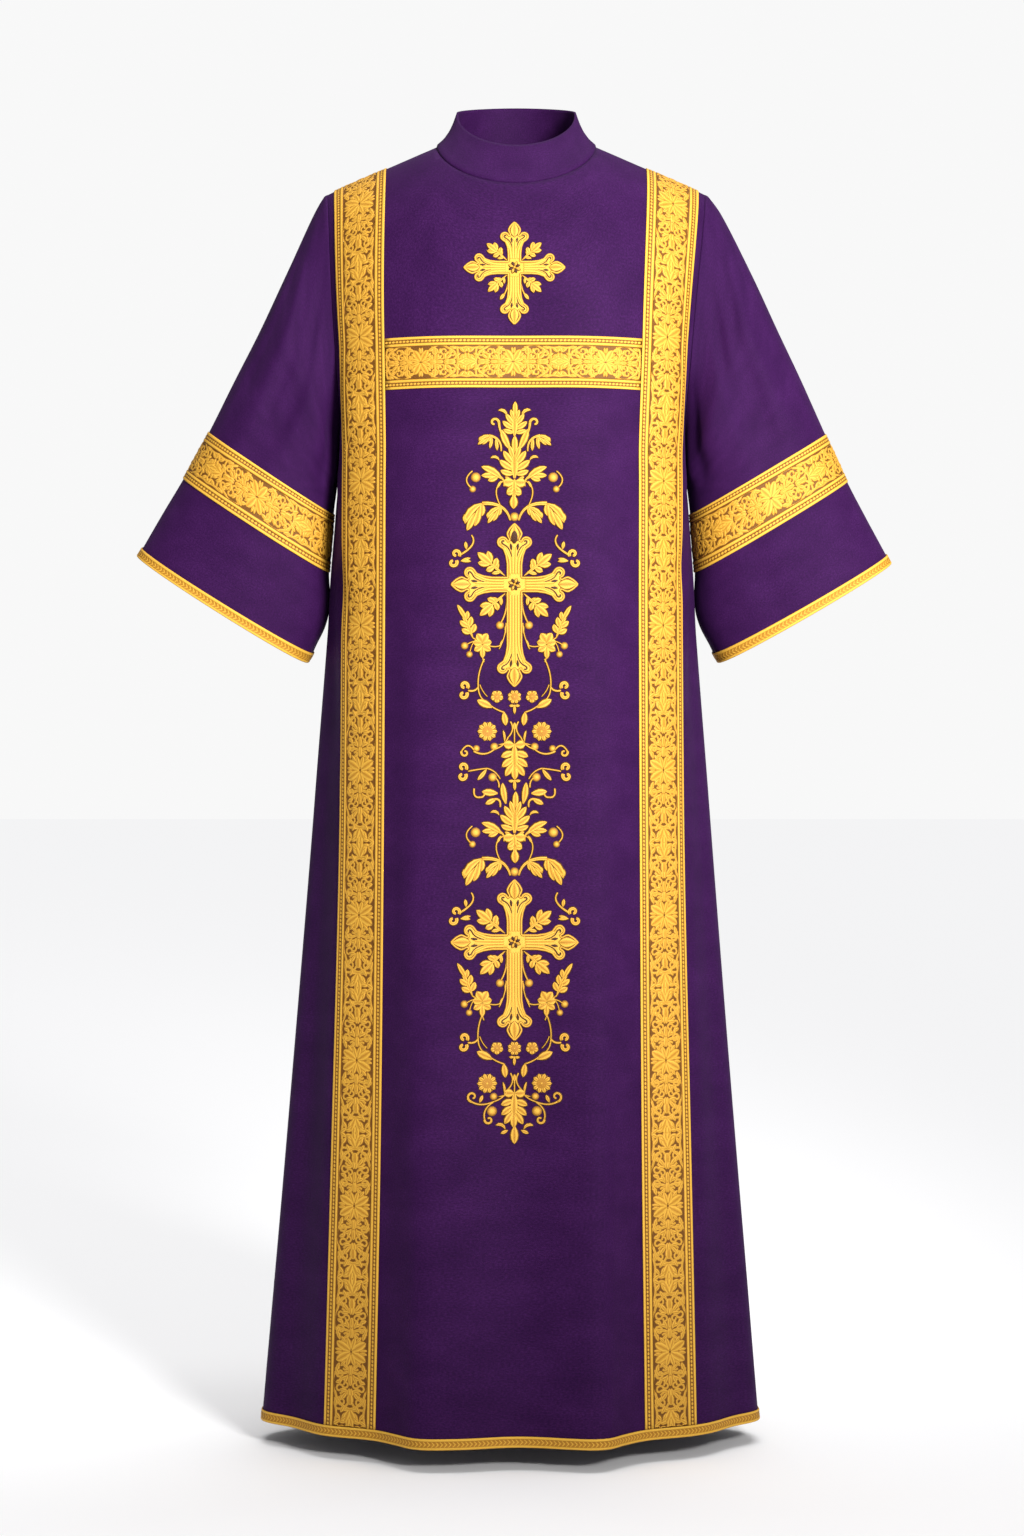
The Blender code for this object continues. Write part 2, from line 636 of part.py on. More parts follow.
def make_chest_band(collection, name, material):
    places = [place for place in panel_places() if abs(place) < INNER - STEP]
    end = INNER - CHEST_BAND_GAP
    places = [-end] + places + [end]
    levels = [level for level in BODY_LEVELS if level >= BAND_BOTTOM]
    rows = [[moved_out(-1, place, level, SEAM) for place in places] for level in levels]
    mesh = loft_mesh(name, rows, closed=False, flip=False)
    return add_wall(collection, name, mesh, material, BRAID, outward=True)


def arm_outline(reach, cross):
    """Outline of one arm from its corner at the crossing round its head: (aside, along)."""
    head = [(cross.arm / cross.head, FLARE_STARTS), *FLARE]
    for step in range(CURL_STEPS + 1):
        turn = math.radians(CURL_STARTS + (CURL_ENDS - CURL_STARTS) * step / CURL_STEPS)
        head.append((CURL_ASIDE + CURL_RADIUS * math.cos(turn), CURL_AT - CURL_RADIUS * math.sin(turn)))
    head += LEAF
    side = [(cross.arm, cross.arm)]
    side += [(aside * cross.head, reach - back * cross.head) for aside, back in head]
    other_side = [(-aside, along) for aside, along in reversed(side[1:])]
    return side + [(0.0, reach)] + other_side


def cross_outline(cross):
    """The four arms, clockwise from the corner between the up arm and the right arm."""
    outline = []
    for turn, reach in enumerate((cross.up, cross.side, cross.down, cross.side)):
        quarter = Matrix.Rotation(-QUARTER * turn, 2)
        arm = [quarter @ Vector(point) for point in reversed(arm_outline(reach, cross))]
        outline += arm
    return outline


def make_cutter(collection, name, outline, centre):
    """An upright prism of an outline, reaching through the cloth from front to back."""
    curve = bpy.data.curves.new(name, "CURVE")
    curve.dimensions = "2D"
    curve.fill_mode = "BOTH"
    curve.extrude = CUTTER_DEPTH
    line = curve.splines.new("POLY")
    line.points.add(len(outline) - 1)
    for point, corner in zip(line.points, outline):
        point.co = (corner.x, corner.y, 0.0, 1.0)
    line.use_cyclic_u = True
    guide = bpy.data.objects.new(name, curve)
    collection.objects.link(guide)
    evaluated = guide.evaluated_get(bpy.context.evaluated_depsgraph_get())
    mesh = bpy.data.meshes.new_from_object(evaluated)
    bpy.data.objects.remove(guide, do_unlink=True)
    body = bmesh.new()
    body.from_mesh(mesh)
    bmesh.ops.remove_doubles(body, verts=body.verts, dist=WELD)
    body.to_mesh(mesh)
    body.free()
    cutter = bpy.data.objects.new(name + "_outline", mesh)
    cutter.location = centre
    cutter.rotation_euler = (QUARTER, 0.0, 0.0)
    cutter.hide_render = True
    cutter.display_type = "WIRE"
    collection.objects.link(cutter)
    return cutter


def make_cross(collection, cutters, cross, material):
    """A sheet on the panel's own facets under the neckline, cut to the cross's outline."""
    places = [place for place in panel_places() if abs(place) < NECK + STEP]
    rows = panel_rows(-1, places, SEAM)[:len(BODY_LEVELS) + NECK_ROWS]
    lows = [min(point.z for point in row) for row in rows]
    highs = [max(point.z for point in row) for row in rows]
    first = max(index for index, high in enumerate(highs) if high <= cross.level - cross.down)
    last = min(index for index, low in enumerate(lows) if low >= cross.level + cross.up)
    mesh = loft_mesh(cross.name, rows[first:last + 1], closed=False, flip=False)
    item = add_wall(collection, cross.name, mesh, material, THREAD, outward=True)
    mesh.shade_flat()
    centre = Vector((CROSS_X, FRONT_SECTIONS[0].centre_y, cross.level))
    cutter = make_cutter(cutters, cross.name, cross_outline(cross), centre)
    cut = item.modifiers.new("Outline", "BOOLEAN")
    cut.operation = "INTERSECT"
    cut.solver = "EXACT"
    cut.object = cutter
    return item


def make_hem_trim(collection, name, material):
    """A ring round the whole hem, over both side seams."""
    rows = []
    for level in (HEM_LEVEL, HEM_LEVEL + HEM_TRIM):
        front = [moved_out(-1, place, level, SEAM) for place in panel_places()]
        back = [moved_out(1, place, level, SEAM) for place in reversed(panel_places())]
        for end in (0, -1):
            front[end].y = 0.0
        rows.append(front + back[1:-1])
    mesh = loft_mesh(name, rows, closed=True, flip=False)
    return add_wall(collection, name, mesh, material, BRAID, outward=True)


def main():
    clear_scene()
    collection = bpy.data.collections.new("cassock")
    bpy.context.scene.collection.children.link(collection)
    cutters = bpy.data.collections.new("cutters")
    bpy.context.scene.collection.children.link(cutters)
    cloth, braid, thread = [make_material(finish) for finish in FINISHES]

    make_panel(collection, "front", -1, cloth)
    make_panel(collection, "back", 1, cloth)
    make_collar(collection, cloth)
    make_chest_band(collection, "band_chest", braid)
    make_hem_trim(collection, "trim_hem", braid)
    for cross in CROSSES:
        make_cross(collection, cutters, cross, thread)
    for side, hand in (("left", 1), ("right", -1)):
        make_sleeve_piece(collection, f"sleeve_{side}", hand, cloth, SLEEVE_SHARES, 0.0, CLOTH)
        make_sleeve_piece(collection, f"band_sleeve_{side}", hand, braid, SLEEVE_BAND, SEAM, BRAID)
        make_sleeve_piece(collection, f"trim_cuff_{side}", hand, braid, CUFF_TRIM, SEAM, BRAID)
        make_vertical_band(collection, f"band_{side}", hand, braid)


main()
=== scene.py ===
"""Looks of the purple liturgical robe: fine cloth, gold brocade, raised embroidery, camera and light.

The forms repeat the solids' own tables and functions, over arrays of points, with finer folds.
Units are metres, +Z is up, the front faces -Y and the wearer's left arm is at +X.
"""

from collections import namedtuple
import math

import bpy
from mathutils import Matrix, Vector
from mathutils.geometry import delaunay_2d_cdt
import numpy as np


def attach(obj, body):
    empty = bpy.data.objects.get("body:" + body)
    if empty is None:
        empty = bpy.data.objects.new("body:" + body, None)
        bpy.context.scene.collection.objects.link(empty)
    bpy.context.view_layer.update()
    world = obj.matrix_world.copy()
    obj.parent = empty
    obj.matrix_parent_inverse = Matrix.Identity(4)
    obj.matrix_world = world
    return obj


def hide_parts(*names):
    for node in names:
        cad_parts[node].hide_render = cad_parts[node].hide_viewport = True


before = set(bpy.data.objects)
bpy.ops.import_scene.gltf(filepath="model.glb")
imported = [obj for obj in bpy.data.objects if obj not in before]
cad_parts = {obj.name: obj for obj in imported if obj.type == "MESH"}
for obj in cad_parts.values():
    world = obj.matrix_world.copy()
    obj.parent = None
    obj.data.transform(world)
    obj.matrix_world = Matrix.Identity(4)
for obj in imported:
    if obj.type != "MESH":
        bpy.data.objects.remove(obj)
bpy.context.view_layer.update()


def rows_of(kind, *values):
    """A table: rows of values under the named columns of their kind."""
    return tuple(kind(*row) for row in values)


# The two faces of the body, on the side of -Y and of +Y
FRONT, BACK = -1, 1

# Cloth, braid and the gap left at each seam
CLOTH = 0.0016
COLLAR_CLOTH = 0.0024
BRAID = 0.0007
TRIM = 0.0010
SEAM = 0.0003
HALF_SEAM = SEAM / 2

# Levels of the body, measured down from the neck points
HEM_LEVEL = -1.432
HEM_TRIM = 0.012
ARMPIT_LEVEL = -0.345
BAND_BOTTOM = -0.286
BAND_TOP = -0.229
YOKE_RISE = 0.20
TOP_LEVEL = BAND_TOP + YOKE_RISE

# Neck opening and shoulder line
NECK_HALF = 0.0898
NECK_SIDE_LEVEL = 0.0005
NECK_FRONT_DROP = 0.0559
NECK_BACK_RISE = 0.004
SHOULDER_INNER = (0.1458, -0.0235)
SHOULDER_OUTER = (0.2051, -0.0487)
SHOULDER_POINT = (0.2125, -0.0522)
SHOULDER_SLOPE = (NECK_SIDE_LEVEL - SHOULDER_INNER[1]) / (SHOULDER_INNER[0] - NECK_HALF)
CROWNS = {FRONT: -0.0049, BACK: 0.0139}
BACK_NECK_ROUND = 0.40
BACK_SHOULDER_ROUND = 0.75

# Collar: half breadth at shares of its height, upright at first, and its top rim
COLLAR_TOP_FRONT = 0.066
COLLAR_TOP_BACK = 0.062
COLLAR_TOP_SIDE_LEVEL = 0.0410
COLLAR_TOP_FRONT_DROP = 0.0505
COLLAR_TOP_BACK_RISE = 0.0185
COLLAR_STAND = 0.05
COLLAR_SHARES = (0.0, COLLAR_STAND, 0.24, 0.47, 0.72, 1.0)
COLLAR_HALVES = (0.0898, 0.0898, 0.0817, 0.0756, 0.0712, 0.0672)

# Places across a panel: centre line, neck point, both edges of a vertical band, side seam
CENTRE, NECK, INNER, OUTER, SIDE = 0.0, 1.0, 2.0, 3.0, 4.0
CHEST_BAND_GAP = 0.012
NECK_TRIES = 24
NECK_SAMPLES = 401
NECK_CORNER = math.radians(70.0)
QUARTER = 0.5 * math.pi

# Armhole: depth of its edge at the chest band, and the levels and shares of the shoulder's
# rise between which a sleeve's turns are spread evenly
ARMHOLE_TOP = {FRONT: -0.0540, BACK: 0.0530}
ARMHOLE_ROUND = 0.75
ARMPIT_EASE = 0.05
ARMHOLE_LEVELS = (ARMPIT_LEVEL, -0.315, BAND_BOTTOM, -0.2575, BAND_TOP)
YOKE_SHARES = (0.2, 0.4, 0.6, 0.8, 1.0)
SHOULDER_SHARES = (0.5, 0.8, 0.96, 1.0)

# Half breadths of the body up to the end of the flat middle, both edges of a vertical band
# and the side seam, and how far the whole leans aside
Breadth = namedtuple("Breadth", "level flat_x inner_x outer_x side_x shift")
BREADTHS = rows_of(
    Breadth,
    (HEM_LEVEL, 0.100, 0.1464, 0.2045, 0.2790, -0.0068),
    (-1.120, 0.098, 0.1418, 0.1975, 0.2526, -0.0058),
    (-0.800, 0.096, 0.1393, 0.1903, 0.2262, -0.0052),
    (-0.550, 0.095, 0.1382, 0.1882, 0.2073, -0.0050),
    (-0.490, 0.095, 0.1381, 0.1880, 0.2048, -0.0049),
    (-0.430, 0.095, 0.1381, 0.1879, 0.2006, -0.0047),
    (-0.385, 0.095, 0.1381, 0.1878, 0.1970, -0.0046),
    (ARMPIT_LEVEL, 0.095, 0.1380, 0.1876, 0.1915, -0.0045),
    (BAND_TOP, 0.096, 0.1410, 0.1925, 0.1985, -0.0033),
)

# Depths of each face at the same places
Depth = namedtuple("Depth", "level centre_y flat_y inner_y outer_y")
DEPTHS = {
    FRONT: rows_of(
        Depth,
        (HEM_LEVEL, -0.1590, -0.1610, -0.1210, -0.0950),
        (-1.120, -0.1480, -0.1490, -0.1165, -0.0870),
        (-0.800, -0.1370, -0.1360, -0.1120, -0.0750),
        (-0.550, -0.1310, -0.1285, -0.1090, -0.0700),
        (-0.490, -0.1299, -0.1272, -0.1079, -0.0689),
        (-0.430, -0.1286, -0.1256, -0.1066, -0.0676),
        (-0.385, -0.1278, -0.1245, -0.1058, -0.0668),
        (ARMPIT_LEVEL, -0.1270, -0.1235, -0.1050, -0.0660),
        (BAND_TOP, -0.1210, -0.1165, -0.0995, -0.0630),
    ),
    BACK: rows_of(
        Depth,
        (HEM_LEVEL, 0.1390, 0.1400, 0.1180, 0.0930),
        (-1.120, 0.1270, 0.1270, 0.1090, 0.0830),
        (-0.800, 0.1150, 0.1140, 0.1000, 0.0730),
        (-0.550, 0.1070, 0.1060, 0.0960, 0.0680),
        (-0.490, 0.1067, 0.1055, 0.0954, 0.0669),
        (-0.430, 0.1064, 0.1050, 0.0947, 0.0656),
        (-0.385, 0.1062, 0.1047, 0.0943, 0.0648),
        (ARMPIT_LEVEL, 0.1060, 0.1045, 0.0940, 0.0640),
        (BAND_TOP, 0.1050, 0.1030, 0.0920, 0.0610),
    ),
}

# Soft folds of the skirt: place across the panel, reach to each side, height at the hem
# (minus is a hollow) and the level where the fold dies out
Fold = namedtuple("Fold", "place reach height fades_at")
FOLDS = {
    FRONT: rows_of(
        Fold,
        (0.18, 0.75, -0.007, -0.52),
        (-1.02, 0.45, 0.003, -0.6),
        (1.05, 0.42, 0.004, -0.56),
        (-3.42, 0.42, -0.008, -0.62),
        (3.48, 0.4, -0.007, -0.7),
    ),
    BACK: rows_of(
        Fold,
        (-0.62, 0.55, -0.009, -0.5),
        (0.1, 0.5, 0.005, -0.62),
        (0.78, 0.5, -0.008, -0.56),
        (-3.45, 0.42, -0.007, -0.66),
        (3.4, 0.42, -0.008, -0.6),
    ),
}

# Creases laid over the form: a line from one place and level to another, its reach to each
# side in metres and its height
Crease = namedtuple("Crease", "place level end_place end_level reach height")
CREASES = {
    FRONT: rows_of(
        Crease,
        (-1.3, -0.33, -1.22, -1.3, 0.034, 0.0022),
        (1.24, -0.33, 1.16, -1.35, 0.036, 0.0024),
        (-0.55, -0.52, -0.78, -1.432, 0.04, -0.0022),
        (0.62, -0.62, 0.72, -1.432, 0.042, -0.002),
        (-3.3, -0.37, -3.55, -1.38, 0.022, -0.0034),
        (3.36, -0.38, 3.62, -1.3, 0.022, -0.003),
        (-3.72, -0.42, -3.82, -1.432, 0.016, 0.0024),
        (3.74, -0.43, 3.84, -1.432, 0.016, 0.0022),
        (-3.9, -0.345, -2.7, -0.56, 0.018, -0.0024),
        (3.9, -0.345, 2.8, -0.52, 0.018, -0.0022),
        (-3.85, -0.35, -3.1, -0.72, 0.015, -0.0018),
        (3.85, -0.35, 3.2, -0.68, 0.015, -0.0018),
        (-3.7, -0.2, -3.15, -0.33, 0.016, -0.0022),
        (3.7, -0.2, 3.2, -0.32, 0.016, -0.002),
        (-0.4, -0.3, -0.3, -0.7, 0.03, -0.001),
        (0.45, -0.32, 0.34, -0.76, 0.032, -0.001),
    ),
    BACK: rows_of(
        Crease,
        (-1.1, -0.3, -1.45, -1.38, 0.034, 0.005),
        (1.05, -0.32, 1.4, -1.34, 0.036, 0.0046),
        (-0.25, -0.36, -0.42, -1.432, 0.03, -0.0056),
        (0.4, -0.34, 0.52, -1.432, 0.032, -0.005),
        (-1.75, -0.42, -1.95, -1.432, 0.024, -0.0038),
        (1.72, -0.45, 1.9, -1.432, 0.024, -0.0034),
        (-3.3, -0.38, -3.52, -1.38, 0.022, -0.0034),
        (3.34, -0.39, 3.58, -1.34, 0.022, -0.003),
        (-3.88, -0.345, -2.9, -0.5, 0.018, -0.0026),
        (3.88, -0.345, 2.8, -0.52, 0.018, -0.0024),
        (-0.8, -0.08, -2.2, -0.19, 0.022, -0.0016),
        (0.85, -0.08, 2.1, -0.185, 0.022, -0.0016),
    ),
}
PLACE_WIDTH = 0.048

# Where creases rise from nothing: shares of their length at each end, but not where one runs
# off the hem; places from the side seam; and metres from the shoulder line and the neckline
CREASE_EASE = 0.3
CREASE_SIDE_EASE = 0.12
CREASE_TOP_EASE = 0.05

# Sleeve rings from the armhole to the cuff: over-arm point, under-arm point, half depths
# and how far the two hands differ: both move by a shift, the left one drops by a drop
Ring = namedtuple("Ring", "share outer_x outer_z inner_x inner_z front back shift drop inner_shift")
SLEEVE_RINGS = rows_of(
    Ring,
    (0, 0.2128, -0.0522, 0.1918, -0.345, 0.054, 0.053, 0, 0, -0.0045),
    (0.02, 0.217, -0.0545, 0.1922, -0.3475, 0.057, 0.055, 0, 0, -0.0045),
    (0.08, 0.2306, -0.0757, 0.1932, -0.353, 0.064, 0.06, 0.0015, 0, -0.0046),
    (0.2, 0.2593, -0.1368, 0.195, -0.362, 0.068, 0.063, 0.003, 0, -0.0047),
    (0.35, 0.2904, -0.2046, 0.1972, -0.375, 0.067, 0.063, 0.003, 0, -0.0048),
    (0.5, 0.3196, -0.264, 0.1996, -0.393, 0.064, 0.061, 0.0022, 0.0006, -0.0049),
    (0.62, 0.347, -0.3215, 0.2018, -0.413, 0.062, 0.06, 0.001, 0.0013, -0.005),
    (0.76, 0.3737, -0.3742, 0.2072, -0.4785, 0.06, 0.058, -0.001, 0.0018, -0.005),
    (0.86, 0.3955, -0.413, 0.2092, -0.526, 0.0585, 0.0565, -0.0018, 0.003, -0.0045),
    (0.965, 0.4188, -0.4545, 0.2262, -0.569, 0.057, 0.055, -0.0022, 0.0038, -0.0037),
    (1, 0.4242, -0.464, 0.2326, -0.58, 0.056, 0.054, -0.0024, 0.0042, -0.0037),
)
SLEEVE_BAND = (0.62, 0.76)
SLEEVE_BAND_BREADTH = 0.060
CUFF_TRIM = (0.965, 1.0)
ARMHOLE_FADE = 0.30
CUFF_BACK_RISE = 0.006
SLEEVE_ROUND = 0.80

# Soft folds of a sleeve: turn round the ring (0 over the arm, 90 front, 180 under the arm),
# reach in degrees, height, and the shares of the length where it rises and dies out
SleeveFold = namedtuple("SleeveFold", "turn reach height starts ends")
SLEEVE_FOLDS = rows_of(
    SleeveFold,
    (78, 26, -0.006, 0.04, 0.8),
    (122, 24, 0.004, 0.02, 0.6),
    (255, 30, -0.007, 0.06, 0.85),
    (300, 26, 0.004, 0.1, 0.95),
)

# Finer sleeve creases: from a turn and share to another, reach in degrees, height
SleeveCrease = namedtuple("SleeveCrease", "turn share end_turn end_share reach height")
SLEEVE_CREASES = rows_of(
    SleeveCrease,
    (58, 0.04, 66, 0.62, 13, 0.0026),
    (96, 0.02, 88, 0.58, 12, -0.0032),
    (148, 0.03, 140, 0.56, 14, -0.003),
    (166, 0.02, 160, 0.48, 10, 0.002),
    (36, 0.1, 44, 0.6, 12, -0.0016),
    (212, 0.03, 222, 0.6, 14, -0.003),
    (236, 0.05, 242, 0.92, 12, 0.0022),
    (322, 0.06, 316, 0.66, 14, -0.002),
    (110, 0.66, 104, 0.99, 16, -0.0014),
    (280, 0.62, 284, 0.99, 15, -0.0014),
    (180, 0.75, 180, 0.95, 24, 0.0013),
)

# Fineness of the shells: columns between the places of half a panel, rows up the panel
HALF_COLUMNS = (22, 12, 12, 24)
PANEL_ROWS = (140, 28, 16)
SLEEVE_COLUMNS = 112
SLEEVE_ROWS = 108
COLLAR_COLUMNS = 176
COLLAR_ROWS = 14
BAND_ROW = 0.0080

# Radius and length that the threads of a tube's weave are counted on
SLEEVE_THREADS = (0.08, 0.48)
COLLAR_THREADS = (0.08, 0.05)

# Small steps that read a direction: along a height, across a panel, along a sleeve, round it
STEP = 0.0005
PLACE_STEP = 0.01
SHARE_STEP = 0.002
TURN_STEP = math.radians(1.0)

# Differences that count as none: between places or levels, between shares, in a length
CLOSE = 1e-9
AT_SEAM = 1e-6
NO_LENGTH = 1e-12


def smooth_step(value):
    """0 up to 0 and 1 from 1, easing between them."""
    value = np.clip(value, 0.0, 1.0)
    return value * value * (3.0 - 2.0 * value)


def bell(offset, reach):
    """1 at the middle of a fold, easing to 0 at its reach."""
    return 0.5 + 0.5 * np.cos(np.pi * np.minimum(1.0, np.abs(offset) / reach))


def hermite(start, end, start_slope, end_slope, share):
    """Points on smooth curves between two points, and the directions of travel there."""
    turn = 3.0 * (end - start) - 2.0 * start_slope - end_slope
    twist = 2.0 * (start - end) + start_slope + end_slope
    point = start + share * (start_slope + share * (turn + share * twist))
    return point, start_slope + share * (2.0 * turn + 3.0 * share * twist)


def read_table(table, key, where, column):
    """Values of a named column, on a smooth curve through the rows of a table."""
    keys = np.array([getattr(row, key) for row in table])
    values = np.array([getattr(row, column) for row in table])
    slopes = np.empty_like(values)
    slopes[1:-1] = (values[2:] - values[:-2]) / (keys[2:] - keys[:-2])
    slopes[0] = (values[1] - values[0]) / (keys[1] - keys[0])
    slopes[-1] = (values[-1] - values[-2]) / (keys[-1] - keys[-2])
    index = np.searchsorted(keys[1:-1], where, side="left")
    span = keys[index + 1] - keys[index]
    share = np.clip((where - keys[index]) / span, 0.0, 1.0)
    return hermite(values[index], values[index + 1], slopes[index] * span, slopes[index + 1] * span, share)[0]


def unit(vectors):
    """The same directions with a length of 1."""
    return vectors / np.maximum(np.linalg.norm(vectors, axis=-1, keepdims=True), NO_LENGTH)


def heading(degrees):
    """Flat directions at clockwise turns from straight up."""
    turn = np.radians(degrees)
    return np.stack([np.sin(turn), np.cos(turn)], -1)


def run_lengths(points):
    """How far along a line of points each one lies."""
    return np.concatenate([[0.0], np.cumsum(np.linalg.norm(np.diff(points, axis=0), axis=1))])


def armhole_depth(face, level):
    """How far the armhole edge lies before or behind the shoulder line, below the chest band."""
    share = np.clip((level - ARMPIT_LEVEL) / (BAND_TOP - ARMPIT_LEVEL), 0.0, 1.0)
    return ARMHOLE_TOP[face] * np.sin(QUARTER * share) ** ARMHOLE_ROUND


def plan_point(face, place, level):
    """Plan positions and outward directions at places on half a panel."""
    xs = [read_table(BREADTHS, "level", level, name) for name in Breadth._fields[1:-1]]
    ys = [read_table(DEPTHS[face], "level", level, name) for name in Depth._fields[1:]]
    ys.append(armhole_depth(face, level) + face * HALF_SEAM)
    points = np.stack([np.stack([np.zeros_like(level), *xs]), np.stack(ys)], -1)
    runs = points[1:] - points[:-1]
    lengths = np.linalg.norm(runs, axis=-1)[..., None]
    directions = runs / lengths
    share = lengths[1:] / (lengths[:-1] + lengths[1:])
    slopes = np.empty_like(points)
    slopes[0] = (1.0, 0.0)
    slopes[1:-1] = directions[:-1] * share + directions[1:] * (1.0 - share)
    above_armpit = smooth_step((level - ARMPIT_LEVEL) / ARMPIT_EASE)[:, None]
    slopes[-1] = np.array((0.0, -face)) * (1.0 - above_armpit) + directions[-1] * above_armpit
    index = np.minimum(len(runs) - 1, place.astype(int))
    at = np.arange(len(place))
    length = lengths[index, at]
    point, run = hermite(points[index, at], points[index + 1, at], slopes[index, at] * length,
                         slopes[index + 1, at] * length, (place - index)[:, None])
    run = unit(run)
    return point, face * np.stack([-run[:, 1], run[:, 0]], -1)


def fold_height(face, place, level):
    """Height of the soft folds, full at the hem."""
    height = np.zeros_like(level)
    for fold in FOLDS[face]:
        depth = (fold.fades_at - level) / (fold.fades_at - HEM_LEVEL)
        height += fold.height * bell(place - fold.place, fold.reach) * smooth_step(depth)
    return height


def ridge_point(face, place):
    """The shoulder line at places, and the smooth line over the neck hole that it runs into."""
    inward = 1.0 - np.minimum(place / NECK, 1.0) ** 2
    rise = 0.5 * SHOULDER_SLOPE * NECK_HALF * inward + CROWNS[face] * inward ** 2
    stops = np.array(((NECK_HALF, NECK_SIDE_LEVEL), SHOULDER_INNER, SHOULDER_OUTER, SHOULDER_POINT))
    stations = (NECK, INNER, OUTER, SIDE)
    over_neck = place < NECK
    x = np.where(over_neck, NECK_HALF * place / NECK, np.interp(place, stations, stops[:, 0]))
    z = np.where(over_neck, NECK_SIDE_LEVEL + rise, np.interp(place, stations, stops[:, 1]))
    return np.stack([x, np.full_like(x, face * HALF_SEAM), z], -1)


def yoke_round(face, place):
    """Power on the yoke's rise: 1 is an ellipse, less is squarer at the shoulder."""
    if face == FRONT:
        return np.ones_like(place)
    near = BACK_NECK_ROUND + (BACK_SHOULDER_ROUND - BACK_NECK_ROUND) * np.minimum(place / NECK, 1.0) ** 4
    far = BACK_SHOULDER_ROUND + (1.0 - BACK_SHOULDER_ROUND) * smooth_step(place - NECK)
    return np.where(place < NECK, near, far)


def yoke_point(face, place, turn):
    """The yoke at turns from upright (0) to the ridge (a quarter turn)."""
    flat, _ = plan_point(face, place, np.full_like(place, BAND_TOP))
    ridge = ridge_point(face, place)
    up = np.sin(turn) ** yoke_round(face, place)
    over = 1.0 - np.cos(turn)
    return np.stack([
        flat[:, 0] + (ridge[:, 0] - flat[:, 0]) * up,
        flat[:, 1] + (ridge[:, 1] - flat[:, 1]) * over,
        BAND_TOP + (ridge[:, 2] - BAND_TOP) * up,
    ], -1)


def neck_table(face):
    """Turns from the neckline's centre, with the place and the turn over where it lies."""
    along = np.linspace(0.0, QUARTER, NECK_SAMPLES)
    level = NECK_SIDE_LEVEL + NECK_BACK_RISE * np.cos(along) ** 2
    if face == FRONT:
        level = NECK_SIDE_LEVEL - NECK_FRONT_DROP * np.cos(along)
    aside = NECK_HALF * np.sin(along)
    place = NECK * along / QUARTER
    for _ in range(NECK_TRIES):
        up = np.minimum(1.0, (level - BAND_TOP) / (ridge_point(face, place)[:, 2] - BAND_TOP))
        over = np.arcsin(up ** (1.0 / yoke_round(face, place)))
        x = yoke_point(face, place, over)[:, 0]
        place[1:] = np.minimum(NECK, place[1:] * aside[1:] / x[1:])
    return along, place, over


NECK_TABLES = {face: neck_table(face) for face in (FRONT, BACK)}


def neck_trim(face, along):
    """Where the neckline lies on the yoke, at turns from its centre: places and turns over."""
    turns, places, overs = NECK_TABLES[face]
    return np.interp(along, turns, places), np.interp(along, turns, overs)


def neck_point(face, along):
    """Points of the neckline at turns from its centre."""
    return yoke_point(face, *neck_trim(face, along))


def corner_rise(face):
    """Share of the yoke's rise at which the columns beside the neck begin to follow its edge."""
    return float(neck_trim(face, NECK_CORNER)[1]) / QUARTER


def yoke_place(face, half_place, rise):
    """Places and turns over, on the yoke, of columns at shares of the rise to the shoulder."""
    corner = corner_rise(face)
    corner_place, corner_over = (float(value) for value in neck_trim(face, NECK_CORNER))
    below = np.minimum(1.0, rise / corner)
    under_neck = (half_place <= NECK) & (rise <= corner)
    end_place, end_over = neck_trim(face, NECK_CORNER * np.minimum(half_place, NECK) / NECK)
    inner_place = half_place + (end_place - half_place) * below
    inner_over = end_over * below
    above = np.clip((rise - corner) / (1.0 - corner), 0.0, 1.0)
    edge_place, edge_over = neck_trim(face, NECK_CORNER + (QUARTER - NECK_CORNER) * above)
    beside_place = np.where(rise <= corner, NECK + (corner_place - NECK) * below, edge_place)
    beside_over = np.where(rise <= corner, corner_over * below, edge_over)
    share = np.clip(half_place - NECK, 0.0, 1.0)
    outer_place = np.where(share < 1.0, beside_place + (INNER - beside_place) * share, half_place)
    outer_over = beside_over + (QUARTER * rise - beside_over) * share
    return np.where(under_neck, inner_place, outer_place), np.where(under_neck, inner_over, outer_over)


def body_point(face, place, level):
    """Outer surface of a face of the body at places and levels."""
    place, level = np.broadcast_arrays(np.asarray(place, float), np.asarray(level, float))
    hand = np.where(place < 0, -1.0, 1.0)
    half = np.abs(place)
    low = np.minimum(level, BAND_TOP)
    shift = read_table(BREADTHS, "level", low, "shift")
    flat, outward = plan_point(face, half, low)
    flat = flat + outward * fold_height(face, place, low)[:, None]
    skirt = np.stack([hand * flat[:, 0] + shift, flat[:, 1], level], -1)
    rise = np.clip((level - BAND_TOP) / YOKE_RISE, 0.0, 1.0)
    point = yoke_point(face, *yoke_place(face, half, rise))
    shift = shift * (1.0 - smooth_step(rise / corner_rise(face)))
    yoke = np.stack([hand * point[:, 0] + shift, point[:, 1], point[:, 2]], -1)
    return np.where((level <= BAND_TOP)[:, None], skirt, yoke)


def body_normal(face, place, level):
    """Outward directions of a face of the body."""
    low_place, high_place = np.maximum(place - PLACE_STEP, -SIDE), np.minimum(place + PLACE_STEP, SIDE)
    low_level, high_level = np.maximum(level - STEP, HEM_LEVEL), np.minimum(level + STEP, TOP_LEVEL)
    across = body_point(face, high_place, level) - body_point(face, low_place, level)
    up = body_point(face, place, high_level) - body_point(face, place, low_level)
    return unit(np.cross(across, up) * -face)


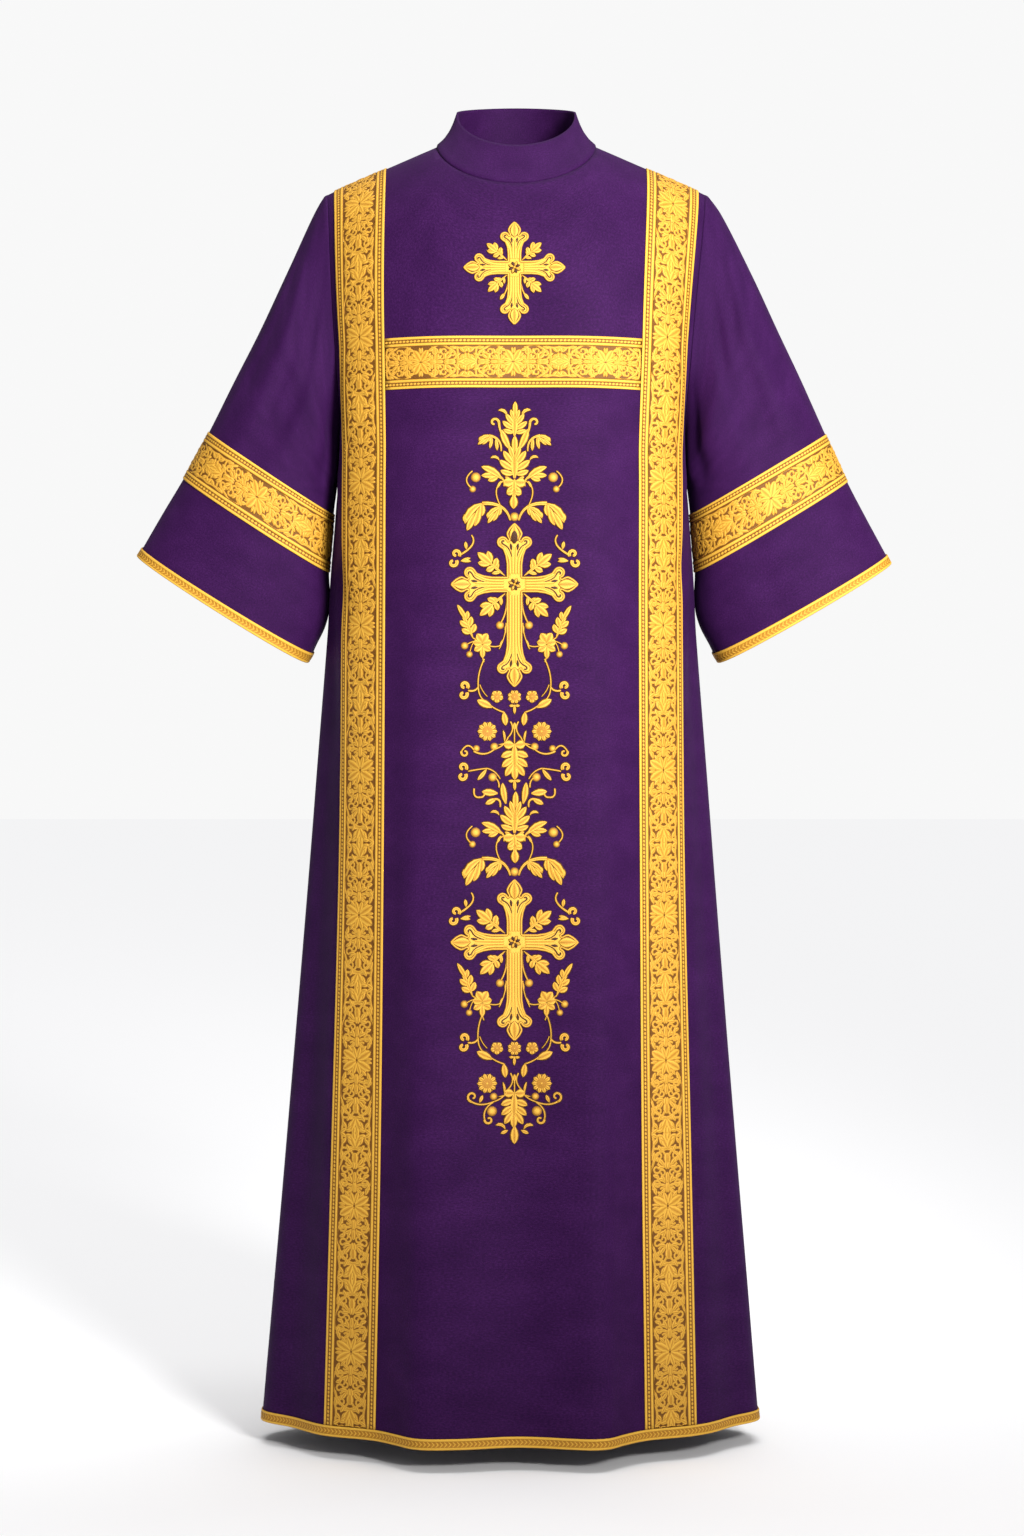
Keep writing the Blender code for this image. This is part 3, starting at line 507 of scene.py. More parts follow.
def crease_height(face, place, level):
    """Height of the fine creases, none at the side seams, the shoulder line and the neckline."""
    height = np.zeros_like(level)
    for crease in CREASES[face]:
        run_x = (crease.end_place - crease.place) * PLACE_WIDTH
        run_z = crease.end_level - crease.level
        length = math.hypot(run_x, run_z)
        aside_x = (place - crease.place) * PLACE_WIDTH
        aside_z = level - crease.level
        along = (aside_x * run_x + aside_z * run_z) / length ** 2
        beside = (aside_x * run_z - aside_z * run_x) / length
        fade = smooth_step(along / CREASE_EASE)
        if crease.end_level > HEM_LEVEL:
            fade = fade * smooth_step((1.0 - along) / CREASE_EASE)
        height += crease.height * bell(beside, crease.reach) * fade
    seam = smooth_step((SIDE - np.abs(place)) / CREASE_SIDE_EASE)
    return height * seam * smooth_step((TOP_LEVEL - level) / CREASE_TOP_EASE)


def body_surface(face, place, level):
    """Points of the creased cloth and its outward directions."""
    place, level = np.broadcast_arrays(np.asarray(place, float), np.asarray(level, float))
    normal = body_normal(face, place, level)
    return body_point(face, place, level) + normal * crease_height(face, place, level)[:, None], normal


def armhole_levels(face, down):
    """Level at a share of the way round from the shoulder point (0) to the armpit (1)."""
    corner = corner_rise(face)
    rises = [corner * share for share in YOKE_SHARES]
    rises += [corner + (1.0 - corner) * share for share in SHOULDER_SHARES]
    levels = [*ARMHOLE_LEVELS, *(BAND_TOP + YOKE_RISE * rise for rise in rises)]
    return np.interp(1.0 - down, np.linspace(0.0, 1.0, len(levels)), levels)


def armhole_point(hand, turn):
    """Armhole edge at turns from the shoulder point down the front and up the back."""
    turn = np.mod(turn, 2 * math.pi)
    down = np.where(turn <= math.pi, turn / math.pi, 2.0 - turn / math.pi)
    side = np.full_like(down, hand * SIDE)
    front, back = (body_point(face, side, armhole_levels(face, down)) for face in (FRONT, BACK))
    point = np.where((turn <= math.pi)[:, None], front, back)
    at_seam = (down < AT_SEAM) | (down > 1.0 - AT_SEAM)
    point[:, 1] = np.where(at_seam, 0.0, point[:, 1])
    return point + np.array((hand * SEAM, 0.0, 0.0))


def sleeve_fold_height(degrees, share):
    """Height of a sleeve's soft folds."""
    height = np.zeros_like(share)
    for fold in SLEEVE_FOLDS:
        middle = 0.5 * (fold.starts + fold.ends)
        along = bell(share - middle, 0.5 * (fold.ends - fold.starts))
        height += fold.height * bell(degrees - fold.turn, fold.reach) * along
    return height


def sleeve_point(hand, turn, share):
    """Outer surface of a sleeve at turns round it and shares of its length."""
    ring = {name: read_table(SLEEVE_RINGS, "share", share, name) for name in Ring._fields[1:]}
    zero = np.zeros_like(share)
    outer = (hand * ring["outer_x"] + ring["shift"], zero, ring["outer_z"] - hand * ring["drop"])
    inner = (hand * ring["inner_x"] + ring["inner_shift"], zero, ring["inner_z"])
    outer, inner = np.stack(outer, -1), np.stack(inner, -1)
    in_front = np.sin(turn) >= 0.0
    depth = np.where(in_front, ring["front"], ring["back"])
    folds = sleeve_fold_height(np.degrees(np.mod(turn, 2 * math.pi)), share)
    rounded = np.abs(np.sin(turn)) ** SLEEVE_ROUND * depth + folds
    point = outer + (inner - outer) * (0.5 - 0.5 * np.cos(turn))[:, None]
    point[:, 1] -= np.where(in_front, rounded, -rounded)
    edge = armhole_point(hand, turn)
    top, bottom = (armhole_point(hand, np.array([at]))[0] for at in (0.0, math.pi))
    down = ((edge - top) @ (bottom - top) / ((bottom - top) @ (bottom - top)))[:, None]
    from_armhole = outer + (inner - outer) * down + edge - (top + (bottom - top) * down)
    point = from_armhole + (point - from_armhole) * smooth_step(share / ARMHOLE_FADE)[:, None]
    over_arm = unit(outer - inner)
    axis = np.stack([-over_arm[:, 2], zero, over_arm[:, 0]], -1) * hand
    lift = CUFF_BACK_RISE * smooth_step(share) * point[:, 1] / depth
    point = point + axis * np.where(axis[:, 2] < 0.0, -lift, lift)[:, None]
    return np.where((share <= 0.0)[:, None], edge, point)


def sleeve_crease_height(degrees, share):
    """Height of a sleeve's fine creases."""
    height = np.zeros_like(share)
    for crease in SLEEVE_CREASES:
        along = (share - crease.share) / (crease.end_share - crease.share)
        line = crease.turn + (crease.end_turn - crease.turn) * along
        fade = smooth_step(along / CREASE_EASE) * smooth_step((1.0 - along) / CREASE_EASE)
        height += crease.height * bell(degrees - line, crease.reach) * fade
    return height


def sleeve_surface(hand, turn, share):
    """Points of the creased sleeve and its outward directions."""
    turn, share = np.broadcast_arrays(np.asarray(turn, float), np.asarray(share, float))
    low, high = np.maximum(0.0, share - SHARE_STEP), np.minimum(1.0, share + SHARE_STEP)
    along = sleeve_point(hand, turn, high) - sleeve_point(hand, turn, low)
    round_it = sleeve_point(hand, turn + TURN_STEP, share) - sleeve_point(hand, turn - TURN_STEP, share)
    normal = unit(np.cross(round_it, along) * hand)
    height = sleeve_crease_height(np.degrees(np.mod(turn, 2 * math.pi)), share)
    return sleeve_point(hand, turn, share) + normal * height[:, None], normal


def collar_point(turn, share):
    """Outer side of the collar: turn 0 is the centre front, share 0 the neck seam, 1 the rim."""
    front = np.cos(turn) > 0
    along = np.abs(np.cos(turn))
    around = np.arcsin(np.minimum(1.0, np.abs(np.sin(turn))))
    base = np.where(front[:, None], neck_point(FRONT, around), neck_point(BACK, around))
    rim_depth = np.where(front, -COLLAR_TOP_FRONT, COLLAR_TOP_BACK)
    rim_rise = np.where(front, -COLLAR_TOP_FRONT_DROP, COLLAR_TOP_BACK_RISE)
    rim_level = COLLAR_TOP_SIDE_LEVEL + rim_rise * along
    inward = np.maximum(0.0, share - COLLAR_STAND) / (1.0 - COLLAR_STAND)
    return np.stack([
        np.interp(share, COLLAR_SHARES, COLLAR_HALVES) * np.sin(turn),
        base[:, 1] + (rim_depth * along - base[:, 1]) * inward,
        base[:, 2] + SEAM + (rim_level - base[:, 2]) * share,
    ], -1)


def add_item(name, data):
    """An object of the scene."""
    item = bpy.data.objects.new(name, data)
    bpy.context.scene.collection.objects.link(item)
    return item


def add_object(name, points, faces, uvs=None, tints=None):
    """A mesh object of points and faces, with a UV and a tint for each point."""
    mesh = bpy.data.meshes.new(name)
    mesh.from_pydata(points.tolist(), [], faces.tolist())
    mesh.update()
    if uvs is not None:
        layer = mesh.uv_layers.new(name="cloth")
        layer.data.foreach_set("uv", uvs[faces.ravel()].astype(np.float32).ravel())
    if tints is not None:
        layer = mesh.attributes.new("tint", "FLOAT", "POINT")
        layer.data.foreach_set("value", tints.astype(np.float32))
    mesh.shade_smooth()
    return add_item(name, mesh)


def grid_faces(rows, columns, closed=False, flip=False):
    """Quads of a grid of rows and columns, the rows closed into rings or not."""
    wide = columns if closed else columns - 1
    row, column = np.meshgrid(np.arange(rows - 1), np.arange(wide), indexing="ij")
    after = (column + 1) % columns
    quads = np.stack([
        row * columns + column, row * columns + after,
        (row + 1) * columns + after, (row + 1) * columns + column,
    ], -1).reshape(-1, 4)
    return quads[:, ::-1] if flip else quads


def facing(points, normals, faces):
    """Faces turned so that they look outward."""
    first, second, third = (points[faces[:, i]] for i in range(3))
    inward = (np.cross(second - first, third - first) * normals[faces[:, 0]]).sum(-1) < 0.0
    return np.where(inward[:, None], faces[:, ::-1], faces)


def compacted(faces):
    """The points that faces use, and the faces numbered over those points alone."""
    used, numbered = np.unique(faces, return_inverse=True)
    return used, numbered.reshape(faces.shape)


def add_wall(item, thickness):
    """A piece's thickness, inward from its points."""
    wall = item.modifiers.new("Wall", "SOLIDIFY")
    wall.thickness = thickness
    wall.offset = -1.0
    wall.use_even_offset = True
    return item


def finish_piece(item, material, slot, *nodes):
    """A piece's material and body, and the solid that it stands in for."""
    item.data.materials.append(material)
    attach(item, "root")
    if nodes:
        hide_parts(*nodes)
    return item


def spread(stops, counts):
    """Values from stop to stop, evenly spaced between each two."""
    values = [np.linspace(start, end, count, endpoint=False) for start, end, count in
              zip(stops, stops[1:], counts)]
    return np.concatenate(values + [np.array([stops[-1]])])


def make_panel(name, face, material, node):
    """The front or the back, with its neck cut out."""
    half = spread((CENTRE, NECK, INNER, OUTER, SIDE), HALF_COLUMNS)
    places = np.concatenate([-half[:0:-1], half])
    corner = BAND_TOP + YOKE_RISE * corner_rise(face)
    levels = spread((HEM_LEVEL, BAND_TOP, corner, TOP_LEVEL), PANEL_ROWS)
    place, level = (grid.ravel() for grid in np.meshgrid(places, levels))
    points, _ = body_surface(face, place, level)
    kept = (level <= corner + CLOSE) | (np.abs(place) >= NECK - CLOSE)
    faces = grid_faces(len(levels), len(places), flip=face == BACK)
    used, faces = compacted(faces[kept[faces].all(1)])
    uvs = np.stack([place * PLACE_WIDTH, level], -1)
    item = add_wall(add_object(name, points[used], faces, uvs[used]), CLOTH)
    return finish_piece(item, material, "purple_cloth", node)


def add_tube(name, surface, columns, rows, threads, thickness, flip=False):
    """A wall closed round, over a surface at turns round it and shares of its length."""
    turns = np.linspace(0.0, 2 * math.pi, columns, endpoint=False)
    turn, share = (grid.ravel() for grid in np.meshgrid(turns, np.linspace(0.0, 1.0, rows + 1)))
    radius, length = threads
    uvs = np.stack([np.abs(turn - math.pi) * radius, share * length], -1)
    faces = grid_faces(rows + 1, columns, closed=True, flip=flip)
    return add_wall(add_object(name, surface(turn, share), faces, uvs), thickness)


def make_sleeve(name, hand, material, node):
    """A bell sleeve from its armhole to its cuff."""
    item = add_tube(name, lambda turn, share: sleeve_surface(hand, turn, share)[0], SLEEVE_COLUMNS,
                    SLEEVE_ROWS, SLEEVE_THREADS, CLOTH, flip=hand < 0)
    return finish_piece(item, material, "purple_cloth", node)


def make_collar(name, material, node):
    """The stand collar, a closed ring on the neckline."""
    item = add_tube(name, collar_point, COLLAR_COLUMNS, COLLAR_ROWS, COLLAR_THREADS, COLLAR_CLOTH)
    return finish_piece(item, material, "purple_cloth", node)


# A band's section: share of its breadth, height over its ground, and tint (0 brown ground,
# 1 light gold); mirrored on the other half
Rib = namedtuple("Rib", "share height tint")
BAND_RIBS = rows_of(
    Rib,
    (0, 0, 0.6),
    (0.012, 0.0004, 1),
    (0.034, 0.0005, 1),
    (0.048, 0.00035, 0.7),
    (0.056, 0.0001, 0.08),
    (0.122, 0.0001, 0.08),
    (0.132, 0.0005, 0.75),
    (0.15, 0.0007, 1),
    (0.17, 0.00055, 0.85),
    (0.184, 0, 0),
    (0.2, 0, 0.06),
    (0.35, 0, 0.08),
)

# Beads in a band's borders: share of its breadth, pitch along it, half length and half breadths
BEAD_SHARE = 0.089
BEAD_PITCH = 0.0042
BEAD_HALF = 0.0016
BEAD_HALVES = (0.016, 0.030, 0.016)
FIELD_SHARE = 0.184

# One repeat of the brocade, in shares of the field's half breadth aside and of half the
# repeat along, from the flower's centre; each row stands in all four quarters
Petal = namedtuple("Petal", "aside along turn length width")
BROCADE_PETALS = rows_of(
    Petal,
    (0.06, 0.012, 60, 0.98, 0.66),
    (0.04, 0.04, 18, 0.66, 0.34),
    (0.7, 0.165, 20, 0.44, 0.26),
    (0.94, 0.235, -30, 0.46, 0.22),
    (0.16, 0.32, 25, 0.5, 0.26),
    (0.14, 0.345, 70, 0.46, 0.24),
    (0.04, 0.33, -2, 0.56, 0.22),
    (0.52, 0.4, 70, 0.4, 0.24),
    (0.58, 0.36, 12, 0.36, 0.2),
    (0.2, 0.56, 40, 0.5, 0.26),
    (0.16, 0.54, 98, 0.48, 0.24),
    (0.52, 0.6, 20, 0.36, 0.2),
    (0.94, 0.64, -20, 0.46, 0.22),
    (0.34, 0.745, 30, 0.44, 0.24),
    (0.86, 0.845, -40, 0.44, 0.24),
    (0.02, 0.8, 24, 0.82, 0.5),
    (0.6, 0.945, 60, 0.44, 0.26),
    (0.06, 0.51, 6, 0.42, 0.26),
    (0.04, 0.58, 0, 0.62, 0.4),
    (0.06, 0.905, 10, 0.5, 0.34),
    (0.05, 0.19, 0, 0.56, 0.22),
    (0.56, 0.014, 82, 0.42, 0.17),
    (0.32, 0.13, 44, 0.42, 0.2),
    (0.15, 0.885, 58, 0.44, 0.24),
    (0.22, 0.96, 84, 0.42, 0.22),
    (0.3, 0.845, 24, 0.38, 0.2),
)
Scroll = namedtuple("Scroll", "aside along radius starts sweep shrink width")
BROCADE_SCROLLS = rows_of(
    Scroll,
    (0.64, 0.3, 0.32, -80, 400, 0.36, 0.12),
    (0.66, 0.51, 0.32, 100, 380, 0.36, 0.12),
    (0.3, 0.455, 0.2, 60, 320, 0.42, 0.1),
    (0.52, 0.685, 0.28, -60, 380, 0.38, 0.11),
    (0.78, 0.93, 0.2, 120, 320, 0.42, 0.1),
    (0.3, 0.215, 0.18, 30, 310, 0.42, 0.1),
)
Stem = namedtuple("Stem", "aside along end_aside end_along bow width")
BROCADE_STEMS = rows_of(
    Stem,
    (-0.6, 0.12, 0.96, 0.3, 0.16, 0.15),
    (0.97, 0.29, 0.97, 0.56, -0.12, 0.13),
    (0.95, 0.55, -0.45, 0.8, -0.2, 0.15),
    (0.1, 0.69, 0.84, 0.79, 0.2, 0.11),
    (0.97, 0.7, 0.93, 1, 0.1, 0.12),
)

# Length of a repeat, or repeats in a round, and where the first flower's centre lies: metres
# from a vertical band's front hem, and shares of the chest band and of a sleeve's round
REPEAT = 0.1590
CHEST_REPEAT = 0.101
SLEEVE_REPEATS = 4
FLOWER_PHASE = 0.082
CHEST_PHASE = 0.5
SLEEVE_PHASE = 0.25

# Height of the brocade, shares of it for its stems and scrolls and for each petal above the
# one before, the share of the field that it fills, and the aspect at which it is full size
RELIEF = 0.00050
STEM_HEIGHT = 0.70
SCROLL_HEIGHT = 0.85
PETAL_RISE = 0.03
FIELD_FILL = 0.97
FULL_ASPECT = 4.4

# Half the section of a raised blade, from its middle out: share of its half breadth, edge
# widths beyond that, share of its height, and tint
Strand = namedtuple("Strand", "across beyond height tint")


def section(*half):
    """A blade's whole section from the half that is mirrored."""
    other_half = [(-across, -beyond, height, tint) for across, beyond, height, tint in half[:0:-1]]
    return rows_of(Strand, *other_half, *half)


# The satin darkens toward its rim and is dark past its edge: painted shade and a painted shadow round each
# raised shape, partly a dark outline
SATIN = section(
    (0.00, 0.0, 0.95, 0.50),
    (0.64, 0.0, 1.00, 1.00),
    (0.84, 0.0, 0.92, 0.38),
    (1.00, 0.0, 0.60, 0.05),
    (1.00, 1.0, 0.00, 0.00),
)
WOVEN = section((0.00, 0.0, 1.00, 0.50), (0.55, 0.0, 0.92, 0.96), (1.00, 1.0, 0.00, 0.00))
# Cords darken toward their sides and past them: a painted shadow along each cord, fainter on laid cords
CORDED = section((0.00, 0.0, 1.00, 1.00), (1.00, 0.0, 0.45, 0.55), (1.00, 1.0, 0.00, 0.00))
LAID = section((0.00, 0.0, 1.00, 1.00), (1.00, 0.0, 0.45, 0.78), (1.00, 1.0, 0.00, 0.40))
BEADED = section((0.0, 0.0, 1.0, 1.00), (1.0, 0.0, 0.0, 0.45))
INKED = section((0.0, 0.0, 1.0, 0.00), (1.0, 0.0, 0.8, 0.00))

# Edge widths: in half breadths of a brocade's field, and in metres on embroidery, where the dark edge is a
# painted shadow
WOVEN_EDGE = 0.040
SATIN_EDGE = 0.0008

# A petal is widest past its middle and blunt at its tip; its half breadths at both ends are
# shares of its width, and a scroll tapers by a share of its own
PETAL_SKEW = 1.12
PETAL_BLUNT = 0.58
PETAL_FOOT = 0.12
PETAL_TIP = 0.05
SCROLL_TAPER = 0.25

# Rings of a button: shares of its radius and height, and tints, which darken outward as painted shade to a
# painted shadow past its rim
BUTTON_REACHES = (0.02, 0.55, 1.0, 1.0)
BUTTON_HEIGHTS = (1.0, 0.85, 0.30, 0.0)
BUTTON_TINTS_AND_SHADOW = (0.95, 0.75, 0.30, 0.0)


class Relief:
    """Raised blades laid out flat: each has a spine, a breadth along it and a domed section."""

    def __init__(self, strands, edge):
        self.strands, self.edge = strands, edge
        self.parts = []
        self.count = 0

    def add(self, points, heights, tints, uvs, faces):
        """A blade's or button's points, numbered on from those before it."""
        self.parts.append((points.reshape(-1, 2), heights.ravel(), tints.ravel(), uvs.reshape(-1, 2),
                           faces + self.count))
        self.count += heights.size

    def blade(self, spine, halves, height, strands=None):
        """A strip along a spine, with half breadths at its points."""
        spine, halves = np.asarray(spine, float), np.asarray(halves, float)
        across, beyond, crown, tints = (np.array(values) for values in zip(*(strands or self.strands)))
        runs = unit(np.gradient(spine, axis=0))
        ends = np.sqrt(halves / halves.max())
        if beyond.any():
            first, last = spine[0] - runs[0] * self.edge, spine[-1] + runs[-1] * self.edge
            spine = np.concatenate([[first], spine, [last]])
            runs = np.concatenate([runs[:1], runs, runs[-1:]])
            halves, ends = np.pad(halves, 1), np.pad(ends, 1)
        sides = np.stack([-runs[:, 1], runs[:, 0]], -1)
        reach = halves[:, None] * across + self.edge * beyond
        points = spine[:, None] + sides[:, None] * reach[..., None]
        uvs = np.stack(np.broadcast_arrays(reach, run_lengths(spine)[:, None]), -1)
        # Past its ends a blade takes its section's darkest tint: the painted shadow round it
        shown = np.where(ends[:, None] > 0.0, tints, tints.min())
        self.add(points, height * ends[:, None] * crown, shown, uvs, grid_faces(*reach.shape, flip=True))

    def petal(self, base, turn, length, width, height, bend=0.0, steps=7, strands=None, skew=PETAL_SKEW):
        """A blade from a base: turn 0 points up the piece, and clockwise is positive."""
        share = 0.5 - 0.5 * np.cos(np.linspace(0.0, math.pi, steps))
        runs = heading(turn + bend * share)
        steps_out = 0.5 * (runs[1:] + runs[:-1]) * np.diff(share)[:, None] * length
        spine = np.array(base) + np.concatenate([np.zeros((1, 2)), np.cumsum(steps_out, axis=0)])
        halves = 0.5 * width * np.clip(np.sin(np.pi * share ** skew), 0.0, 1.0) ** PETAL_BLUNT
        halves[0], halves[-1] = PETAL_FOOT * width, PETAL_TIP * width
        self.blade(spine, halves, height, strands)

    def scroll(self, centre, radius, starts, sweep, shrink, width, height, steps=13):
        """A blade that winds inward round a centre."""
        share = np.linspace(0.0, 1.0, steps)
        turn = np.radians(starts + sweep * share)
        reach = radius * (1.0 + (shrink - 1.0) * share)
        spine = np.array(centre) + np.stack([reach * np.cos(turn), reach * np.sin(turn)], -1)
        self.blade(spine, 0.5 * width * (1.0 - SCROLL_TAPER * share), height)

    def vine(self, start, middle, end, width, end_width, height, steps=9):
        """A stem through three points."""
        share = np.linspace(0.0, 1.0, steps)[:, None]
        start, middle, end = (np.array(point, float) for point in (start, middle, end))
        pull = 2.0 * middle - 0.5 * (start + end)
        spine = start * (1.0 - share) ** 2 + pull * 2.0 * share * (1.0 - share) + end * share ** 2
        self.blade(spine, 0.5 * (width + (end_width - width) * share[:, 0]), height)

    def dome(self, centre, radius, height, tints=BUTTON_TINTS_AND_SHADOW, columns=14):
        """A round button: rings from its middle out, darkening outward, with a painted shadow as a dark edge
        past the last.
        """
        reaches = np.array(BUTTON_REACHES) * radius
        reaches[-1] += self.edge
        turns = np.linspace(0.0, 2 * math.pi, columns + 1)
        uvs = reaches[:, None, None] * np.stack([np.cos(turns), np.sin(turns)], -1)
        heights, tints = (np.repeat(values, len(turns)) for values in (BUTTON_HEIGHTS, tints))
        self.add(np.array(centre) + uvs, heights * height, tints, uvs, grid_faces(len(reaches), len(turns)))

    def gathered(self):
        """Flat places, heights, tints, UVs and faces of all blades."""
        return [np.concatenate(values) for values in zip(*self.parts)]


def brocade_repeat(aspect):
    """The four quarters of one repeat, laid out flat in half breadths of the field."""
    relief = Relief(WOVEN, WOVEN_EDGE)
    size = min(1.0, math.sqrt(aspect / FULL_ASPECT))
    for mirror, up in ((-1.0, -1.0), (-1.0, 1.0), (1.0, -1.0), (1.0, 1.0)):
        for row in BROCADE_STEMS:
            start = np.array((row.aside * mirror, row.along * up * aspect))
            end = np.array((row.end_aside * mirror, row.end_along * up * aspect))
            side = np.array((start[1] - end[1], end[0] - start[0])) * row.bow * mirror * up
            width = row.width * size
            relief.vine(start, 0.5 * (start + end) + side, end, width, width, STEM_HEIGHT, steps=7)
        for row in BROCADE_SCROLLS:
            starts = up * (row.starts if mirror > 0 else 180.0 - row.starts)
            relief.scroll((row.aside * mirror, row.along * up * aspect), row.radius * size, starts,
                          row.sweep * mirror * up, row.shrink, row.width * size, SCROLL_HEIGHT, steps=10)
        for number, row in enumerate(BROCADE_PETALS):
            turn = row.turn * mirror if up > 0 else 180.0 - row.turn * mirror
            relief.petal((row.aside * mirror, row.along * up * aspect), turn, row.length * size,
                         row.width * size, 1.0 + PETAL_RISE * number, steps=6)
    return relief


def mirrored(ribs):
    """Shares, heights and tints of the columns from edge to edge, from half a section."""
    other_half = [(1.0 - rib.share, rib.height, rib.tint) for rib in reversed(ribs) if rib.share < 0.5]
    return [np.array(values) for values in zip(*ribs, *other_half)]


def make_ground(name, mapping, ribs, thickness):
    """A band's or trim's ground with its ribbed borders, as a wall along the whole mapping."""
    shares, heights, tints = mirrored(ribs)
    count = round(mapping.length / BAND_ROW)
    along = np.linspace(0.0, mapping.length, count, endpoint=not mapping.closed)
    share, run = (grid.ravel() for grid in np.meshgrid(shares, along))
    points, normals = mapping(share, run)
    points = points + normals * (np.tile(heights, count) + SEAM + thickness)[:, None]
    faces = grid_faces(count + mapping.closed, len(shares)) % len(points)
    uvs = np.stack([share * mapping.breadth, run], -1)
    item = add_object(name, points, facing(points, normals, faces), uvs, np.tile(tints, count))
    return add_wall(item, thickness)


def add_relief(name, mapping, parts, base):
    """A relief laid over a mapping, at heights above the cloth from a base."""
    flat, heights, tints, uvs, faces = parts
    points, normals = mapping(flat[:, 0], flat[:, 1])
    points = points + normals * (heights + base)[:, None]
    return add_object(name, points, facing(points, normals, faces), uvs, tints)


def make_beads(length):
    """The beads of both borders."""
    beads = Relief(BEADED, 0.0)
    for number in range(int(length / BEAD_PITCH)):
        middle = (number + 0.5) * BEAD_PITCH
        for border in (BEAD_SHARE, 1.0 - BEAD_SHARE):
            spine = [(border, middle + step * BEAD_HALF) for step in (-1, 0, 1)]
            beads.blade(spine, BEAD_HALVES, RELIEF)
    return beads.gathered()


def make_brocade(name, mapping, repeat, phase):
    """The raised pattern of a band's field, repeated along it, and the beads in its borders."""
    half_field = (0.5 - FIELD_SHARE) * mapping.breadth
    flat, heights, tints, uvs, faces = brocade_repeat(0.5 * repeat / half_field).gathered()
    share = 0.5 + np.clip(flat[:, 0], -1.0, 1.0) * (0.5 - FIELD_SHARE) * FIELD_FILL
    parts = []
    count = 0
    for number in range(math.floor(-phase / repeat) - 1, math.ceil((mapping.length - phase) / repeat) + 2):
        along = phase + number * repeat + flat[:, 1] * half_field
        if mapping.closed:
            middle = along[faces].mean(1)
            whole = (middle >= 0.0) & (middle < mapping.length)
        else:
            whole = ((along >= 0.0) & (along <= mapping.length))[faces].all(1)
        if whole.any():
            used, kept = compacted(faces[whole])
            parts.append((np.stack([share, along], -1)[used], heights[used] * RELIEF, tints[used],
                          uvs[used] * half_field, kept + count))
            count += len(used)
    *beads, bead_faces = make_beads(mapping.length)
    parts.append((*beads, bead_faces + count))
    return add_relief(name, mapping, [np.concatenate(values) for values in zip(*parts)], SEAM + BRAID)


def front_or_back(on_front, front, back):
    """Points and directions of the front where a place is on it, and of the back elsewhere."""
    return [np.where(on_front[:, None], one, other) for one, other in zip(front, back)]


# Mappings of bands and trims onto the cloth: share across and metres along to points and
# outward directions. Each counts its length along samples of its middle line
class VerticalBand:
    """Maps shares across and metres along, from the front hem over the shoulder to the back hem."""

    breadth = 0.062
    closed = False
    samples = 400

    def __init__(self, hand):
        self.hand = hand
        self.levels = np.linspace(HEM_LEVEL + HEM_TRIM + SEAM, TOP_LEVEL, self.samples)
        middle = np.full_like(self.levels, 0.5 * (INNER + OUTER) * hand)
        self.front, self.back = (run_lengths(body_point(face, middle, self.levels)) for face in (FRONT, BACK))
        self.length = self.front[-1] + self.back[-1]

    def __call__(self, share, along):
        place = self.hand * (INNER + (OUTER - INNER) * share)
        front = body_surface(FRONT, place, np.interp(along, self.front, self.levels))
        back = body_surface(BACK, place, np.interp(self.length - along, self.back, self.levels))
        return front_or_back(along <= self.front[-1], front, back)


class ChestBand:
    """Maps shares down and metres along the chest band, from the wearer's right to the left."""

    breadth = BAND_TOP - BAND_BOTTOM
    closed = False
    samples = 200

    def __init__(self):
        self.places = np.linspace(-(INNER - CHEST_BAND_GAP), INNER - CHEST_BAND_GAP, self.samples)
        middle = np.full_like(self.places, 0.5 * (BAND_BOTTOM + BAND_TOP))
        self.runs = run_lengths(body_point(FRONT, self.places, middle))
        self.length = self.runs[-1]

    def __call__(self, share, along):
        place = np.interp(along, self.runs, self.places)
        return body_surface(FRONT, place, BAND_TOP + (BAND_BOTTOM - BAND_TOP) * share)


class SleeveBand:
    """Maps shares down the sleeve and metres round it, from the over-arm line to the front."""

    closed = True
    samples = 361

    def __init__(self, hand, shares, breadth):
        self.hand, self.shares, self.breadth = hand, shares, breadth
        self.turns = np.linspace(0.0, 2 * math.pi, self.samples)
        middle = np.full_like(self.turns, 0.5 * (shares[0] + shares[1]))
        self.runs = run_lengths(sleeve_surface(hand, self.turns, middle)[0])
        self.length = self.runs[-1]

    def __call__(self, share, along):
        turn = np.interp(np.mod(along, self.length), self.runs, self.turns)
        return sleeve_surface(self.hand, turn, self.shares[0] + (self.shares[1] - self.shares[0]) * share)


class HemTrim:
    """Maps shares down and metres round the hem, from the right side seam along the front."""

    breadth = HEM_TRIM
    closed = True
    samples = 300

    def __init__(self):
        self.places = np.linspace(-SIDE, SIDE, self.samples)
        level = np.full_like(self.places, HEM_LEVEL + 0.5 * HEM_TRIM)
        self.front = run_lengths(body_point(FRONT, self.places, level))
        self.back = run_lengths(body_point(BACK, self.places[::-1], level))
        self.length = self.front[-1] + self.back[-1]

    def __call__(self, share, along):
        along = np.mod(along, self.length)
        level = HEM_LEVEL + HEM_TRIM * (1.0 - share)
        front = body_surface(FRONT, np.interp(along, self.front, self.places), level)
        back_place = np.interp(along - self.front[-1], self.back, self.places[::-1])
        return front_or_back(along <= self.front[-1], front, body_surface(BACK, back_place, level))


# Half a narrow trim's section, and its slanted stitches: share across and share of a pitch along
TRIM_RIBS = rows_of(
    Rib,
    (0, 0, 0.6),
    (0.06, 0.00035, 1),
    (0.17, 0.00045, 1),
    (0.25, 0.00005, 0.45),
    (0.5, 0.00005, 0.5),
)
STITCH_PITCH = 0.0046
STITCH = ((0.26, 0.0), (0.50, 0.6), (0.74, 0.0))
STITCH_HALVES = (0.0010, 0.0014, 0.0010)
STITCH_HEIGHT = 0.0004


